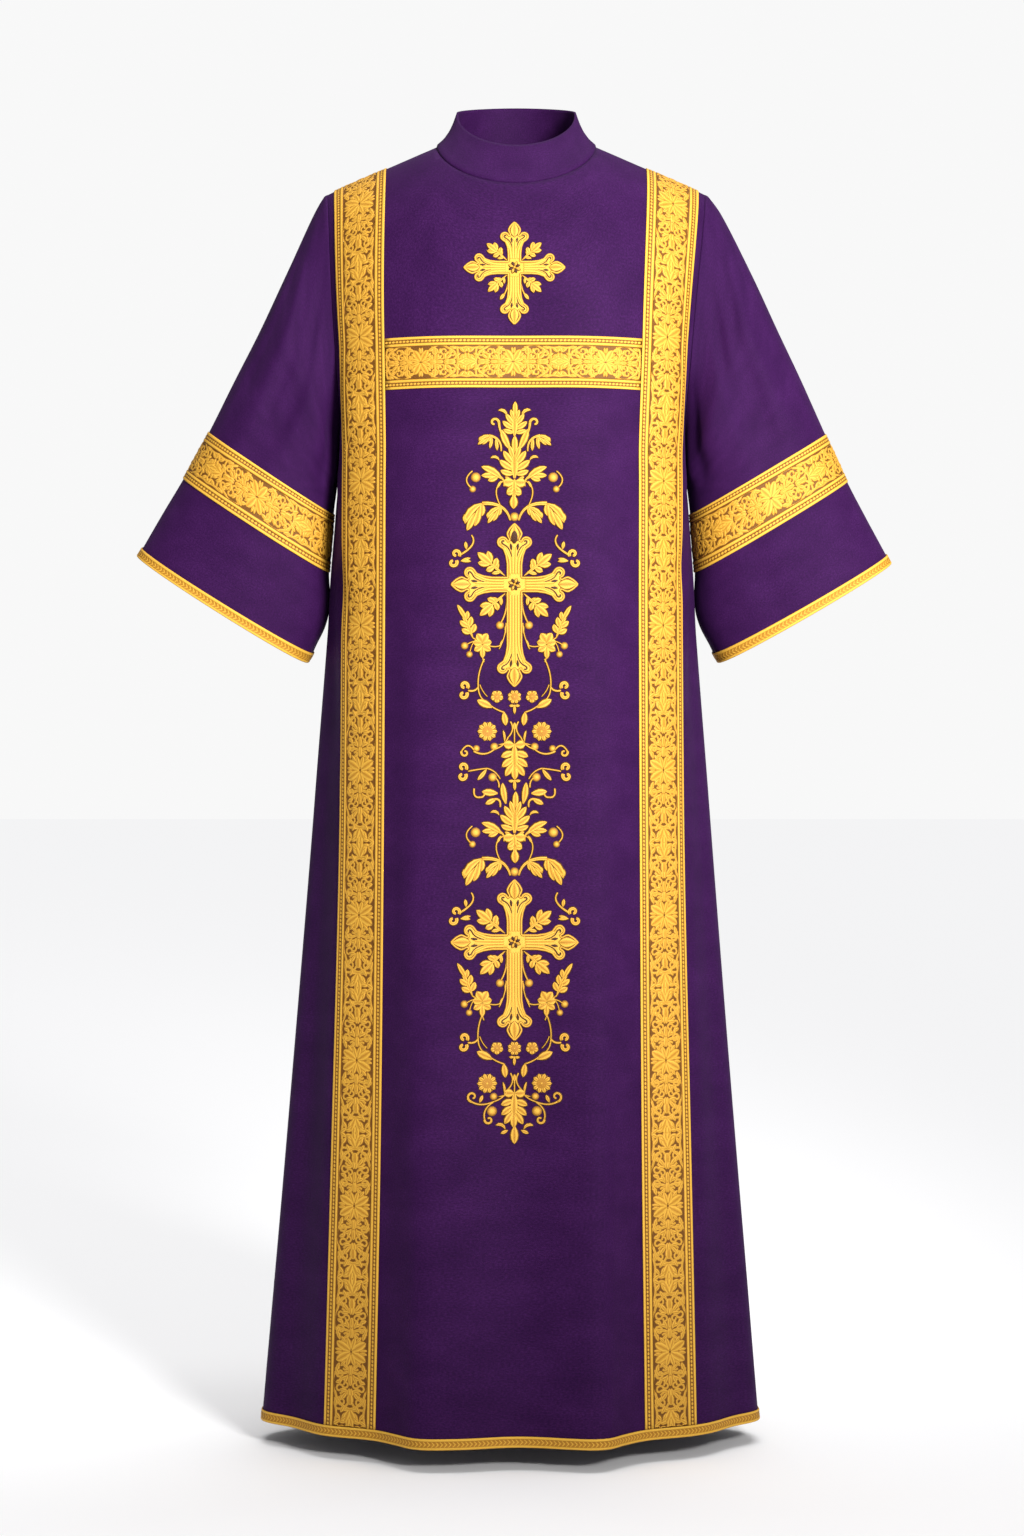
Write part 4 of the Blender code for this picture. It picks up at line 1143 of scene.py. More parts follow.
def make_trim(name, mapping, material, node):
    """A narrow trim and its stitches."""
    ground = make_ground(name, mapping, TRIM_RIBS, TRIM)
    finish_piece(ground, material, "gold_braid", node)
    relief = Relief(BEADED, 0.0)
    count = round(mapping.length / STITCH_PITCH)
    pitch = mapping.length / count
    for number in range(count):
        spine = [(across, (number + along) * pitch) for across, along in STITCH]
        relief.blade(spine, STITCH_HALVES, STITCH_HEIGHT)
    stitches = add_relief(name + "_stitches", mapping, relief.gathered(), SEAM + TRIM)
    return ground, finish_piece(stitches, material, "gold_braid")


def make_band(name, mapping, repeat, phase, material, node):
    """A band and its brocade."""
    ground = make_ground(name, mapping, BAND_RIBS, BRAID)
    finish_piece(ground, material, "gold_braid", node)
    brocade = make_brocade(name + "_brocade", mapping, repeat, phase)
    return ground, finish_piece(brocade, material, "gold_braid")


# Embroidered leaves, in shares of the leaf's length: each lobe starts at a distance along
# the midrib, a little beside it, and turns away from it on the sides named
IN, OUT, MID, BOTH = (1.0,), (-1.0,), (1.0,), (-1.0, 1.0)
Lobe = namedtuple("Lobe", "along beside turn length width bend sides")


def leaf_shapes(**shapes):
    """Leaves by name, each a table of its lobes."""
    return {name: rows_of(Lobe, *lobes) for name, lobes in shapes.items()}


LEAVES = leaf_shapes(
    drop=((0, 0, 0, 1, 0.52, 0, MID),),
    leaf=((0, 0, 0, 1, 0.34, -12, MID),),
    blade=((0, 0, 0, 1, 0.22, 26, MID),),
    hook=((0, 0, 0, 1.15, 0.34, 110, MID),),
    fleur=((0.05, 0.04, 70, 0.55, 0.32, 35, BOTH), (0, 0, 0, 1, 0.36, 0, MID)),
    sprig=(
        (0, 0, 0, 0.6, 0.085, 0, MID),
        (0.15, 0.01, 38, 0.24, 0.12, 20, IN),
        (0.27, 0.01, 44, 0.19, 0.1, 20, OUT),
        (0.4, 0, 80, 0.25, 0.2, -24, BOTH),
        (0.52, 0, 42, 0.36, 0.22, -12, BOTH),
        (0.48, 0, 0, 0.52, 0.25, 0, MID),
    ),
    spray=(
        (0, 0, 0, 0.8, 0.13, 8, MID),
        (0.14, 0, 58, 0.28, 0.19, -25, BOTH),
        (0.32, 0, 44, 0.3, 0.19, -20, BOTH),
        (0.54, 0.01, 34, 0.24, 0.16, -10, OUT),
        (0.5, 0, 4, 0.52, 0.15, 10, MID),
    ),
    bloom=(
        (-0.2, 0, 120, 0.76, 0.62, 0, BOTH),
        (-0.3, 0, 180, 0.9, 0.5, 0, MID),
        (0, 0, 82, 0.74, 0.74, 0, BOTH),
        (0.05, 0, 26, 0.84, 0.74, 8, BOTH),
    ),
    acanthus=(
        (-0.02, 0, 36, 0.4, 0.23, -16, IN),
        (0.14, 0, 24, 0.58, 0.25, -14, IN),
        (0.42, 0.16, 22, 0.34, 0.21, -34, OUT),
        (0.34, -0.02, 6, 0.6, 0.24, 0, IN),
        (0, 0, -40, 0.84, 0.25, 62, MID),
    ),
    wing=(
        (0.16, 0, 52, 0.46, 0.28, 0, IN),
        (0.26, 0, 28, 0.62, 0.28, 6, IN),
        (0, 0, -18, 1, 0.33, 36, MID),
    ),
    palmette=(
        (0, 0, 0, 0.72, 0.24, 0, MID),
        (0.1, 0.02, 92, 0.32, 0.16, -34, BOTH),
        (0.2, 0.02, 68, 0.4, 0.185, -24, BOTH),
        (0.32, 0.02, 44, 0.4, 0.175, -14, BOTH),
        (0.46, 0.02, 22, 0.32, 0.14, -6, BOTH),
        (0.58, 0, 0, 0.42, 0.17, 0, MID),
    ),
    frond=(
        (0, 0, 0, 0.84, 0.26, 0, MID),
        (0.02, 0.02, 84, 0.28, 0.28, 20, BOTH),
        (0.24, 0.02, 80, 0.37, 0.22, -18, BOTH),
        (0.4, 0.02, 62, 0.41, 0.22, -16, BOTH),
        (0.55, 0.02, 40, 0.42, 0.22, -10, BOTH),
        (0.62, 0, 0, 0.38, 0.23, 0, MID),
    ),
    pendant=(
        (0, 0, 0, 0.66, 0.24, 0, MID),
        (0.06, 0.03, 66, 0.36, 0.38, 40, BOTH),
        (0.22, 0.03, 30, 0.36, 0.24, 10, BOTH),
        (0.42, 0.02, 64, 0.24, 0.22, 24, BOTH),
        (0.54, 0, 0, 0.46, 0.32, 0, MID),
    ),
)

# Embroidery in groups, in millimetres aside from the crosses' middle line and up from each
# group's own level. What stands off the line is worked on both sides of it
Motif = namedtuple("Motif", "leaf aside up turn size")
Vine = namedtuple("Vine", "aside up mid_aside mid_up end_aside end_up width end_width")
Curl = namedtuple("Curl", "aside up radius starts sweep shrink width")
Flower = namedtuple("Flower", "aside up radius petals")
Group = namedtuple("Group", "motifs vines curls flowers")


def group(motifs=(), vines=(), curls=(), flowers=()):
    """Embroidery that belongs together, from the rows of its four tables."""
    return Group(rows_of(Motif, *motifs), rows_of(Vine, *vines), rows_of(Curl, *curls),
                 rows_of(Flower, *flowers))


SMALL_SPRAYS = group(
    motifs=(("sprig", 8.2, 8.4, 49, 28), ("sprig", 8.2, -8, 131, 28), ("drop", 10.6, -28.6, 144, 8)),
    vines=((7.6, -8.6, 7.4, -19.5, 11.4, -30.5, 1.3, 1.5),),
)
SPRAYS = group(
    motifs=(
        ("sprig", 10.6, 9.6, 50, 38),
        ("sprig", 10.4, -10, 133, 36),
        ("drop", 52.2, 38.4, 8, 8),
        ("leaf", 58, 25.4, -68, 10.5),
        ("leaf", 58, 25.4, -88, 10.5),
        ("spray", 45.3, -57.8, 20, 38),
        ("bloom", 34.8, -64, 0, 13.5),
        ("blade", 9.4, -44, 168, 9),
        ("blade", 12.8, -60, 150, 10),
    ),
    vines=(
        (46.5, 53.4, 45.8, 43, 59, 32, 1.4, 2.2),
        (8.7, -10, 9.2, -27, 14.6, -41.5, 1.3, 1.6),
        (9, -42, 11, -56, 16.6, -70, 1.3, 1),
        (15.8, -66.4, 22, -67.6, 29, -66, 1.1, 1.3),
        (37, -62, 41, -60.4, 45.3, -57.8, 1.3, 1.3),
        (40, -61.4, 46.5, -62.6, 52.4, -66, 1.1, 1.1),
        (44, -62.4, 46.8, -68, 48.4, -74, 1, 1),
        (34.6, -76, 34.4, -80, 33, -84, 1.1, 1.2),
    ),
    curls=((63.4, 33.2, 4.3, 215, -300, 0.45, 4), (66.6, 23.6, 4.5, 150, 290, 0.45, 4.2)),
    flowers=((15.6, -44.2, 3.9, 0), (54, -66.6, 3.5, 0), (48.8, -75.8, 3, 0)),
)
ROSETTES = group(
    motifs=(
        ("fleur", 0, -8.6, 180, 9.5),
        ("drop", 24.4, -11.2, 64, 17.5),
        ("drop", 11.6, -16.6, 189, 14.5),
        ("drop", 0, -36, 0, 8),
        ("blade", 10.8, -48.5, -4, 12),
        ("blade", 17.2, -51.8, -88, 6),
    ),
    vines=(
        (32.8, 41, 38.4, 25, 39.2, 9.6, 1.4, 1.4),
        (39.2, 9.6, 35.6, -1.4, 25.6, -9.6, 1.4, 1.3),
        (25.6, -9.6, 18.8, -13.8, 11.6, -16.6, 1.3, 1.6),
        (37.4, 13, 34.2, 6.2, 29.6, 0.6, 1, 0.8),
        (39, 11, 43.4, 7, 50, 6.8, 1.8, 2),
        (4.2, -27, 2.2, -35.5, 7, -44, 1.6, 1.4),
        (7, -44, 12.6, -52, 22, -57, 1.4, 1.4),
        (0, -34, 0, -42, 0, -50, 1.5, 1.2),
    ),
    curls=((54.4, 12, 4.3, 215, -300, 0.45, 4.2), (55.4, 2.4, 4.4, 150, 290, 0.45, 4.2)),
    flowers=((0, 0, 7.3, 8), (19, 0.4, 6.6, 5), (29.4, -37.4, 10.4, 10)),
)
MIDDLE = group(
    motifs=(("frond", 0, -51, 180, 38.5), ("leaf", 30.4, -78.6, 146, 14.5)),
    vines=(
        (22, -57, 32.6, -61.8, 44, -59, 1.4, 2),
        (44, -57.4, 50.8, -53, 57.6, -59.4, 1.6, 1.6),
        (50, -80.6, 38.6, -78.6, 29.6, -77.6, 1.4, 1.4),
        (29.6, -77.6, 21.6, -81.4, 15.6, -88.8, 1.4, 1.2),
        (20.4, -88, 17.4, -92.4, 16.8, -98, 1.2, 1.8),
    ),
    curls=(
        (53.8, -60.6, 4, 20, -300, 0.4, 2.6),
        (55.8, -76.2, 4.3, 215, -300, 0.45, 4.2),
        (56.6, -86, 4.5, 150, 290, 0.45, 4.2),
    ),
    flowers=((21.8, -54, 3.8, 0), (41.2, -56, 3.2, 0), (23.6, -87, 4.2, 0)),
)
ENDING = group(
    motifs=(
        ("frond", 0, -47.5, 180, 37),
        ("drop", 37.4, -57.6, -22, 8),
        ("hook", 10.2, -87, 12, 11),
        ("drop", 7.4, -88.4, 112, 8),
        ("drop", 0, -84, 180, 19),
    ),
    vines=((22, -57, 35, -60, 46, -57, 1.4, 1.8), (23.4, -58, 31.4, -66, 32.2, -76.4, 1.4, 1.8)),
    curls=((45.4, -51.4, 5.6, -80, 330, 0.35, 2.6), (27.8, -76.6, 4.6, 0, -300, 0.35, 2.6)),
    flowers=((22.4, -51.6, 3.5, 0), (24.2, -67.4, 4.9, 0)),
)
CROWN = group(
    motifs=(
        ("acanthus", 35.6, 13.8, 148, 34),
        ("acanthus", 15.6, 10, 138, 23),
        ("pendant", 0, 40.5, 180, 31),
        ("palmette", 0, 42, 0, 44.5),
        ("wing", 14, 41.4, 60, 25),
        ("leaf", 18.8, 31, -22, 9),
        ("hook", 16.8, 61.6, 20, 9.5),
        ("drop", 4, 40, 62, 7),
    ),
    vines=(
        (4.6, -3.6, 14.6, 10.8, 35, 14.4, 2, 4.4),
        (11.4, 33.4, 11.8, 39.4, 17, 44.4, 1.6, 2.4),
        (12.8, 38.4, 19.8, 28, 15, 11.4, 1.4, 1.2),
        (45.8, 49.4, 52, 40.4, 47.4, 31.6, 1.3, 1.5),
    ),
    flowers=((0, 0, 4.3, 0), (42, 42.8, 4.8, 0), (45.4, 30, 3.1, 0)),
)
CROWN_TOP = group(
    motifs=(
        ("palmette", 0, 88, 0, 38),
        ("hook", 8.4, 110, 2, 11),
        ("leaf", 4.8, 73, 30, 24),
        ("acanthus", 25.6, 87.6, 122, 18),
        ("leaf", 20.4, 85, 192, 13),
        ("leaf", 24.6, 86.6, 176, 12.5),
    ),
    vines=((14.4, 71.4, 17.4, 83, 28, 88.2, 1.6, 3), (13.8, 90, 15.8, 95, 16.8, 101.8, 1.6, 2.8)),
    curls=((21.8, 102.5, 5, 185, -270, 0.35, 3),),
)
CROWN_JOINT = group(
    motifs=(
        ("fleur", 0, 99.5, 180, 11),
        ("leaf", 9.4, 74, 14, 22),
        ("drop", 18.6, 85, 84, 16),
        ("drop", 20, 79, 116, 12),
    ),
    vines=(
        (15.4, 70.4, 16.6, 77.4, 22.4, 78.6, 1.8, 2.4),
        (43.6, 90, 42.8, 82.4, 37, 80.8, 1.8, 1.8),
        (37, 80.8, 34, 81.6, 32, 85, 1.8, 1.8),
    ),
)

# The column's groups, down the front
Station = namedtuple("Station", "level groups")
COLUMN = rows_of(
    Station,
    (-0.4266, (CROWN, CROWN_TOP)),
    (-0.5003, (SPRAYS,)),
    (-0.6224, (ROSETTES, MIDDLE)),
    (-0.8120, (CROWN, CROWN_JOINT)),
    (-0.8880, (SPRAYS,)),
    (-1.0029, (ROSETTES, ENDING)),
)
MILLIMETRE = 0.001
SATIN_HEIGHT = 0.0010
LOBE_RISE = 0.11

# A flower, in shares of its radius: its disc, and its petals' foot, length and the arc that
# they would fill together; and its button, which is a little higher than the satin
FLOWER_DISC = 0.90
# The disc is even in tint, with a painted shadow as a dark edge past its rim
DISC_TINTS_AND_SHADOW = (0.5, 0.5, 0.5, 0.0)
DISC_COLUMNS = 20
FLOWER_FOOT = 0.12
FLOWER_LENGTH = 0.88
FLOWER_ARC = 1.50 * math.pi
FLOWER_SKEW = 2.3
FLOWER_BUTTON = 0.24
BUTTON_HEIGHT = 1.1 * SATIN_HEIGHT

# Unevenness of the hand: a seed, degrees of turn and a share of size
HAND_SEED = 7
HAND_TURN = 2.0
HAND_SIZE = 0.03

# Raised crosses: level of the crossing, reach of the arms sideways, up and down, half
# breadth of an arm and size of the head that ends it
Cross = namedtuple("Cross", "name level side up down arm head")
CROSSES = rows_of(
    Cross,
    ("cross_small", -0.1540, 0.0550, 0.0514, 0.0624, 0.0064, 0.0200),
    ("cross_upper", -0.5003, 0.0686, 0.0661, 0.1109, 0.0074, 0.0245),
    ("cross_lower", -0.8880, 0.0686, 0.0672, 0.1061, 0.0074, 0.0245),
)
CROSS_X = -0.0022
THREAD = 0.0009

# Head of an arm, in shares of its size: how far aside and how far back from the tip. The
# arm flares into a round curl on each side, and a leaf with two bends stands between them
FLARE_STARTS = 1.80
FLARE = ((0.36, 1.42), (0.47, 1.12))
CURL_AT = 0.82
CURL_ASIDE = 0.525
CURL_RADIUS = 0.215
CURL_STARTS = -60.0
CURL_ENDS = 178.0
CURL_STEPS = 10
LEAF = ((0.19, 0.72), (0.30, 0.52), (0.315, 0.42), (0.20, 0.21))

# Plate of a cross: step along its outline, pitch of the grid inside it, how near two points
# are one, and tint
OUTLINE_STEP = 0.0016
PLATE_GRID = 0.0045
PLATE_JOIN = 1e-6
PLATE_TINT = 0.88

# Couched thread on a cross: the cord round its outline, and the cords along an arm, which
# lie at shares of its half breadth and end at a flare, in shares of its head
CORD_HALF = 0.00075
CORD_HEIGHT = 0.0008
# Width of the dark edge past the cords and satin on a cross: a painted shadow
CORD_EDGE = 0.00065
ArmCord = namedtuple("ArmCord", "share flare")
ARM_CORDS = rows_of(ArmCord, (-0.60, -0.440), (-0.20, -0.084), (0.20, 0.084), (0.60, 0.440))
ARM_CORD_HALF = 0.00085
ARM_CORD_HEIGHT = 0.0005

# Where an arm's cord starts, in half breadths of the arm; where it bends, spreads by a ratio
# and ends, in heads back from the tip
ARM_CORD_STARTS = 1.6
ARM_CORD_BENDS = 1.90
ARM_CORD_SPREADS = 1.55
ARM_CORD_SPREAD = 1.15
ARM_CORD_ENDS = 1.06

# Stitches of a head, in shares of its size: aside and back from the tip, and half breadths.
# A dark hook and drop stand on each side of the leaf, and one leaf has a dark eye
DARK_HEIGHT = 0.0009
HOOK = ((0.12, 1.46), (0.20, 1.18), (0.34, 0.98), (0.50, 0.92), (0.60, 0.82), (0.52, 0.72), (0.44, 0.78))
HOOK_HALVES = (0.016, 0.034)
DROP = ((0.13, 1.16), (0.15, 1.00), (0.17, 0.88))
DROP_HALVES = (0.030, 0.060, 0.020)
LEAF_BACKS = (0.84, 0.04)
LEAF_HALVES = (0.02, 0.15, 0.22, 0.26, 0.25, 0.22, 0.16, 0.08, 0.01)
LEAF_HEIGHT = 1.4 * CORD_HEIGHT
EYE_CROSS = "cross_upper"
EYE_BACKS = (0.88, 0.74, 0.58, 0.42, 0.28)
EYE_HALVES = (0.05, 0.13, 0.15, 0.11, 0.02)
EYE_HEIGHT = 2.6 * CORD_HEIGHT

# Rosette at the crossing: radius, and shares of it for its petals and its button
ROSETTE_RADIUS = 0.0066
ROSETTE_PETALS = 8
ROSETTE_FOOT = 0.22
ROSETTE_LENGTH = 0.80
ROSETTE_WIDTH = 0.46
ROSETTE_HEIGHT = 2.2 * DARK_HEIGHT
ROSETTE_BUTTON = 0.26
ROSETTE_BUTTON_HEIGHT = 2.4 * DARK_HEIGHT


class FrontCloth:
    """Maps metres aside from the crosses' line and heights onto the front."""

    tries = 8

    def __call__(self, aside, height):
        aside = aside + CROSS_X
        reach = read_table(BREADTHS, "level", np.minimum(height, BAND_TOP), "flat_x")
        place, level = aside / reach, height
        for _ in range(self.tries):
            point = body_point(FRONT, place, level)
            place = place + (aside - point[:, 0]) / reach
            level = level + (height - point[:, 2])
        return body_surface(FRONT, place, level)


def work_motif(relief, motif, level, side, hand):
    """The lobes of a leaf, on one side of the column, a little uneven as handwork is."""
    turn = (motif.turn + hand.uniform(-HAND_TURN, HAND_TURN)) * side
    size = motif.size * MILLIMETRE * (1.0 + hand.uniform(-HAND_SIZE, HAND_SIZE))
    run = heading(turn)
    beside = np.array((run[1], -run[0]))
    base = np.array((motif.aside * MILLIMETRE * side, level + motif.up * MILLIMETRE))
    for number, lobe in enumerate(LEAVES[motif.leaf]):
        height = SATIN_HEIGHT * (1.0 + LOBE_RISE * number)
        for sign in np.array(lobe.sides) * side:
            start = base + (run * lobe.along + beside * lobe.beside * sign) * size
            relief.petal(start, turn + lobe.turn * sign, lobe.length * size, lobe.width * size, height,
                         lobe.bend * sign)


def work_vine(relief, vine, level, side):
    """A stem on one side of the column."""
    points = ((vine.aside, vine.up), (vine.mid_aside, vine.mid_up), (vine.end_aside, vine.end_up))
    points = [(aside * MILLIMETRE * side, level + up * MILLIMETRE) for aside, up in points]
    relief.vine(*points, vine.width * MILLIMETRE, vine.end_width * MILLIMETRE, SATIN_HEIGHT)


def work_curl(relief, curl, level, side):
    """A scroll on one side of the column."""
    centre = (curl.aside * MILLIMETRE * side, level + curl.up * MILLIMETRE)
    starts = curl.starts if side > 0 else 180.0 - curl.starts
    relief.scroll(centre, curl.radius * MILLIMETRE, starts, curl.sweep * side, curl.shrink,
                  curl.width * MILLIMETRE, SATIN_HEIGHT)


def petal_turns(count):
    """Clockwise turns of evenly spaced petals, none of them straight up."""
    return [360.0 * (number + 0.5) / count for number in range(count)]


def work_flower(relief, flower, level, side):
    """A ring of petals round a button, or a plain button."""
    centre = np.array((flower.aside * MILLIMETRE * side, level + flower.up * MILLIMETRE))
    radius = flower.radius * MILLIMETRE
    button = radius
    if flower.petals:
        button = FLOWER_BUTTON * radius
        relief.dome(centre, FLOWER_DISC * radius, SATIN_HEIGHT, DISC_TINTS_AND_SHADOW, DISC_COLUMNS)
    for turn in petal_turns(flower.petals):
        relief.petal(centre + heading(turn) * FLOWER_FOOT * radius, turn, FLOWER_LENGTH * radius,
                     FLOWER_ARC * radius / flower.petals, SATIN_HEIGHT, skew=FLOWER_SKEW)
    relief.dome(centre, button, BUTTON_HEIGHT)


def work_group(relief, work, level, hand):
    """A group's leaves, vines, curls and flowers; what stands on the line is worked once."""
    for side in (-1.0, 1.0):
        for motif in work.motifs:
            if motif.aside or side > 0:
                work_motif(relief, motif, level, side, hand)
        for vine in work.vines:
            if vine.mid_aside or side > 0:
                work_vine(relief, vine, level, side)
        for curl in work.curls:
            work_curl(relief, curl, level, side)
        for flower in work.flowers:
            if flower.aside or side > 0:
                work_flower(relief, flower, level, side)


def make_embroidery(name, mapping, stations, material):
    """The satin-stitched groups at their levels, as one piece."""
    hand = np.random.default_rng(HAND_SEED)
    relief = Relief(SATIN, SATIN_EDGE)
    for station in stations:
        for work in station.groups:
            work_group(relief, work, station.level, hand)
    return finish_piece(add_relief(name, mapping, relief.gathered(), SEAM), material, "gold_thread")


def turned(points, quarter):
    """Points of the up arm, (aside, along), turned clockwise by quarter turns."""
    aside, along = np.asarray(points, float).T
    cosine, sine = round(math.cos(QUARTER * quarter)), round(math.sin(QUARTER * quarter))
    return np.stack([aside * cosine + along * sine, along * cosine - aside * sine], -1)


def arms(cross):
    """The arms' quarter turns from the up arm, clockwise, and their reaches."""
    return enumerate((cross.up, cross.side, cross.down, cross.side))


def arm_outline(reach, cross):
    """Outline of one arm from its corner at the crossing round its head: (aside, along)."""
    turns = np.radians(np.linspace(CURL_STARTS, CURL_ENDS, CURL_STEPS + 1))
    curl = zip(CURL_ASIDE + CURL_RADIUS * np.cos(turns), CURL_AT - CURL_RADIUS * np.sin(turns))
    head = [(cross.arm / cross.head, FLARE_STARTS), *FLARE, *curl, *LEAF]
    side = [(cross.arm, cross.arm)]
    side += [(aside * cross.head, reach - back * cross.head) for aside, back in head]
    other_side = [(-aside, along) for aside, along in reversed(side[1:])]
    return side + [(0.0, reach)] + other_side


def resampled(outline, step):
    """A closed line at even steps, its last point on its first."""
    closed = np.concatenate([outline, outline[:1]])
    runs = run_lengths(closed)
    along = np.linspace(0.0, runs[-1], round(runs[-1] / step))
    return np.stack([np.interp(along, runs, closed[:, i]) for i in (0, 1)], -1)


def smooth_line(points, steps=16):
    """Evenly spaced points on a soft line through the ones given."""
    points = np.asarray(points, float)
    runs = run_lengths(points)
    along = np.linspace(0.0, runs[-1], steps)
    line = np.stack([np.interp(along, runs, points[:, i]) for i in (0, 1)], -1)
    for _ in range(2):
        line[1:-1] = 0.25 * line[:-2] + 0.5 * line[1:-1] + 0.25 * line[2:]
    return line


def make_plate(cross, outline, mapping, material):
    """A stuffed plate cut to a cross's outline, with a grid of points inside it."""
    reach = max(cross.side, cross.up, cross.down)
    steps = np.arange(-reach, reach, PLATE_GRID)
    corners = [Vector(point) for point in outline]
    inside = [Vector((aside, along)) for aside in steps for along in steps]
    edges = [(i, (i + 1) % len(corners)) for i in range(len(corners))]
    flat, _, faces, _, _, _ = delaunay_2d_cdt(corners + inside, edges, [], 1, PLATE_JOIN)
    used, faces = compacted(np.array(faces))
    flat = np.array([tuple(point) for point in flat])[used]
    points, normals = mapping(flat[:, 0], cross.level + flat[:, 1])
    points = points + normals * (SEAM + THREAD)
    plate = add_object(cross.name + "_plate", points, facing(points, normals, faces), flat,
                       np.full(len(points), PLATE_TINT))
    return finish_piece(add_wall(plate, THREAD), material, "gold_thread", cross.name)


def make_cross(cross, mapping, material):
    """A cross's plate, with its cords, dark stitches and rosette on it."""
    outline = [turned(arm_outline(reach, cross)[::-1], quarter) for quarter, reach in arms(cross)]
    outline = resampled(np.concatenate(outline), OUTLINE_STEP)[:-1]
    make_plate(cross, outline, mapping, material)
    relief = Relief(CORDED, CORD_EDGE)
    cord = resampled(outline, OUTLINE_STEP)
    relief.blade(cord, np.full(len(cord), CORD_HALF), CORD_HEIGHT)
    for quarter, reach in arms(cross):
        work_arm(relief, quarter, reach, cross)
    for number, turn in enumerate(petal_turns(ROSETTE_PETALS)):
        relief.petal(heading(turn) * ROSETTE_FOOT * ROSETTE_RADIUS, turn, ROSETTE_LENGTH * ROSETTE_RADIUS,
                     ROSETTE_WIDTH * ROSETTE_RADIUS, ROSETTE_HEIGHT, strands=INKED if number % 2 else SATIN)
    relief.dome((0.0, 0.0), ROSETTE_BUTTON * ROSETTE_RADIUS, ROSETTE_BUTTON_HEIGHT)
    flat, *others = relief.gathered()
    parts = [flat + np.array((0.0, cross.level)), *others]
    stitches = add_relief(cross.name + "_cords", mapping, parts, SEAM + THREAD)
    return finish_piece(stitches, material, "gold_thread")


def work_arm(relief, quarter, reach, cross):
    """Cords along an arm that part to its two curls, and the stitches of its head."""
    arm, head = cross.arm, cross.head
    for cord in ARM_CORDS:
        aside = cord.share * arm
        spine = ((aside, ARM_CORD_STARTS * arm), (aside, reach - ARM_CORD_BENDS * head),
                 (aside * ARM_CORD_SPREAD, reach - ARM_CORD_SPREADS * head),
                 (cord.flare * head, reach - ARM_CORD_ENDS * head))
        spine = turned(smooth_line(spine), quarter)
        relief.blade(spine, np.full(len(spine), ARM_CORD_HALF), ARM_CORD_HEIGHT, LAID)

    def on_head(points):
        return [(aside * head, reach - back * head) for aside, back in points]

    for side in (-1.0, 1.0):
        hook, drop = (on_head([(side * aside, back) for aside, back in points]) for points in (HOOK, DROP))
        spine = turned(smooth_line(hook), quarter)
        relief.blade(spine, np.linspace(*HOOK_HALVES, len(spine)) * head, DARK_HEIGHT, INKED)
        relief.blade(turned(drop, quarter), np.array(DROP_HALVES) * head, DARK_HEIGHT, INKED)
    leaf = [(0.0, back) for back in np.linspace(*LEAF_BACKS, len(LEAF_HALVES))]
    relief.blade(turned(on_head(leaf), quarter), np.array(LEAF_HALVES) * head, LEAF_HEIGHT, SATIN)
    if quarter == 0 and cross.name == EYE_CROSS:
        eye = [(0.0, back) for back in EYE_BACKS]
        relief.blade(turned(on_head(eye), quarter), np.array(EYE_HALVES) * head, EYE_HEIGHT, INKED)


# Light, floor and camera
FLOOR_LEVEL = -1.457
FLOOR_REACH = 40.0
FLOOR_COLOUR = (0.93, 0.93, 0.94, 1.0)
FLOOR_ROUGHNESS = 0.9
CAMERA_AT = (-0.00486, -3.3, -0.6995)
CAMERA_LENS = 68.44
SENSOR = 36.0
STUDIO_COLOUR = (1.0, 1.0, 1.0, 1.0)
STUDIO_LIGHT = 0.32
BACKGROUND_LIGHT = 0.94
SUN_AIM = (-0.08, -0.04, -1.0)
SUN_STRENGTH = 2.05
SUN_SOFTNESS = math.radians(40.0)
KEY_AT = (1.15, -2.5, 0.35)
KEY_AIM = (0.02, 0.0, -0.34)
KEY_ENERGY = 740.0
KEY_RADIUS = 0.40
KEY_CONE = math.radians(50.0)
KEY_BLEND = 1.0
KEY_COLOUR = (1.0, 0.985, 0.97)

# Colours from dark to light, and the tones at which a material shows them
PURPLES = ((0.0170, 0.0026, 0.0300), (0.0270, 0.0046, 0.0450), (0.0420, 0.0084, 0.0680))
PURPLE_TONES = (0.35, 0.52, 0.69)
BRAIDS = ((0.100, 0.034, 0.004), (0.420, 0.190, 0.016), (0.720, 0.410, 0.050))
THREADS = ((0.036, 0.010, 0.005), (0.400, 0.180, 0.016), (0.730, 0.430, 0.056))
GOLD_TONES = (0.0, 0.55, 1.0)
SHEEN_TINT = (0.55, 0.35, 0.80, 1.0)

# Pitch of the threads in metres; of the gold ones also how metallic they are and how far a
# stitch leans
CLOTH_PITCH = 0.0011
Gold = namedtuple("Gold", "colours metallic pitch lean")
GOLD_BRAID = Gold(BRAIDS, 0.18, 0.0009, 0.0)
GOLD_THREAD = Gold(THREADS, 0.12, 0.0007, 0.45)


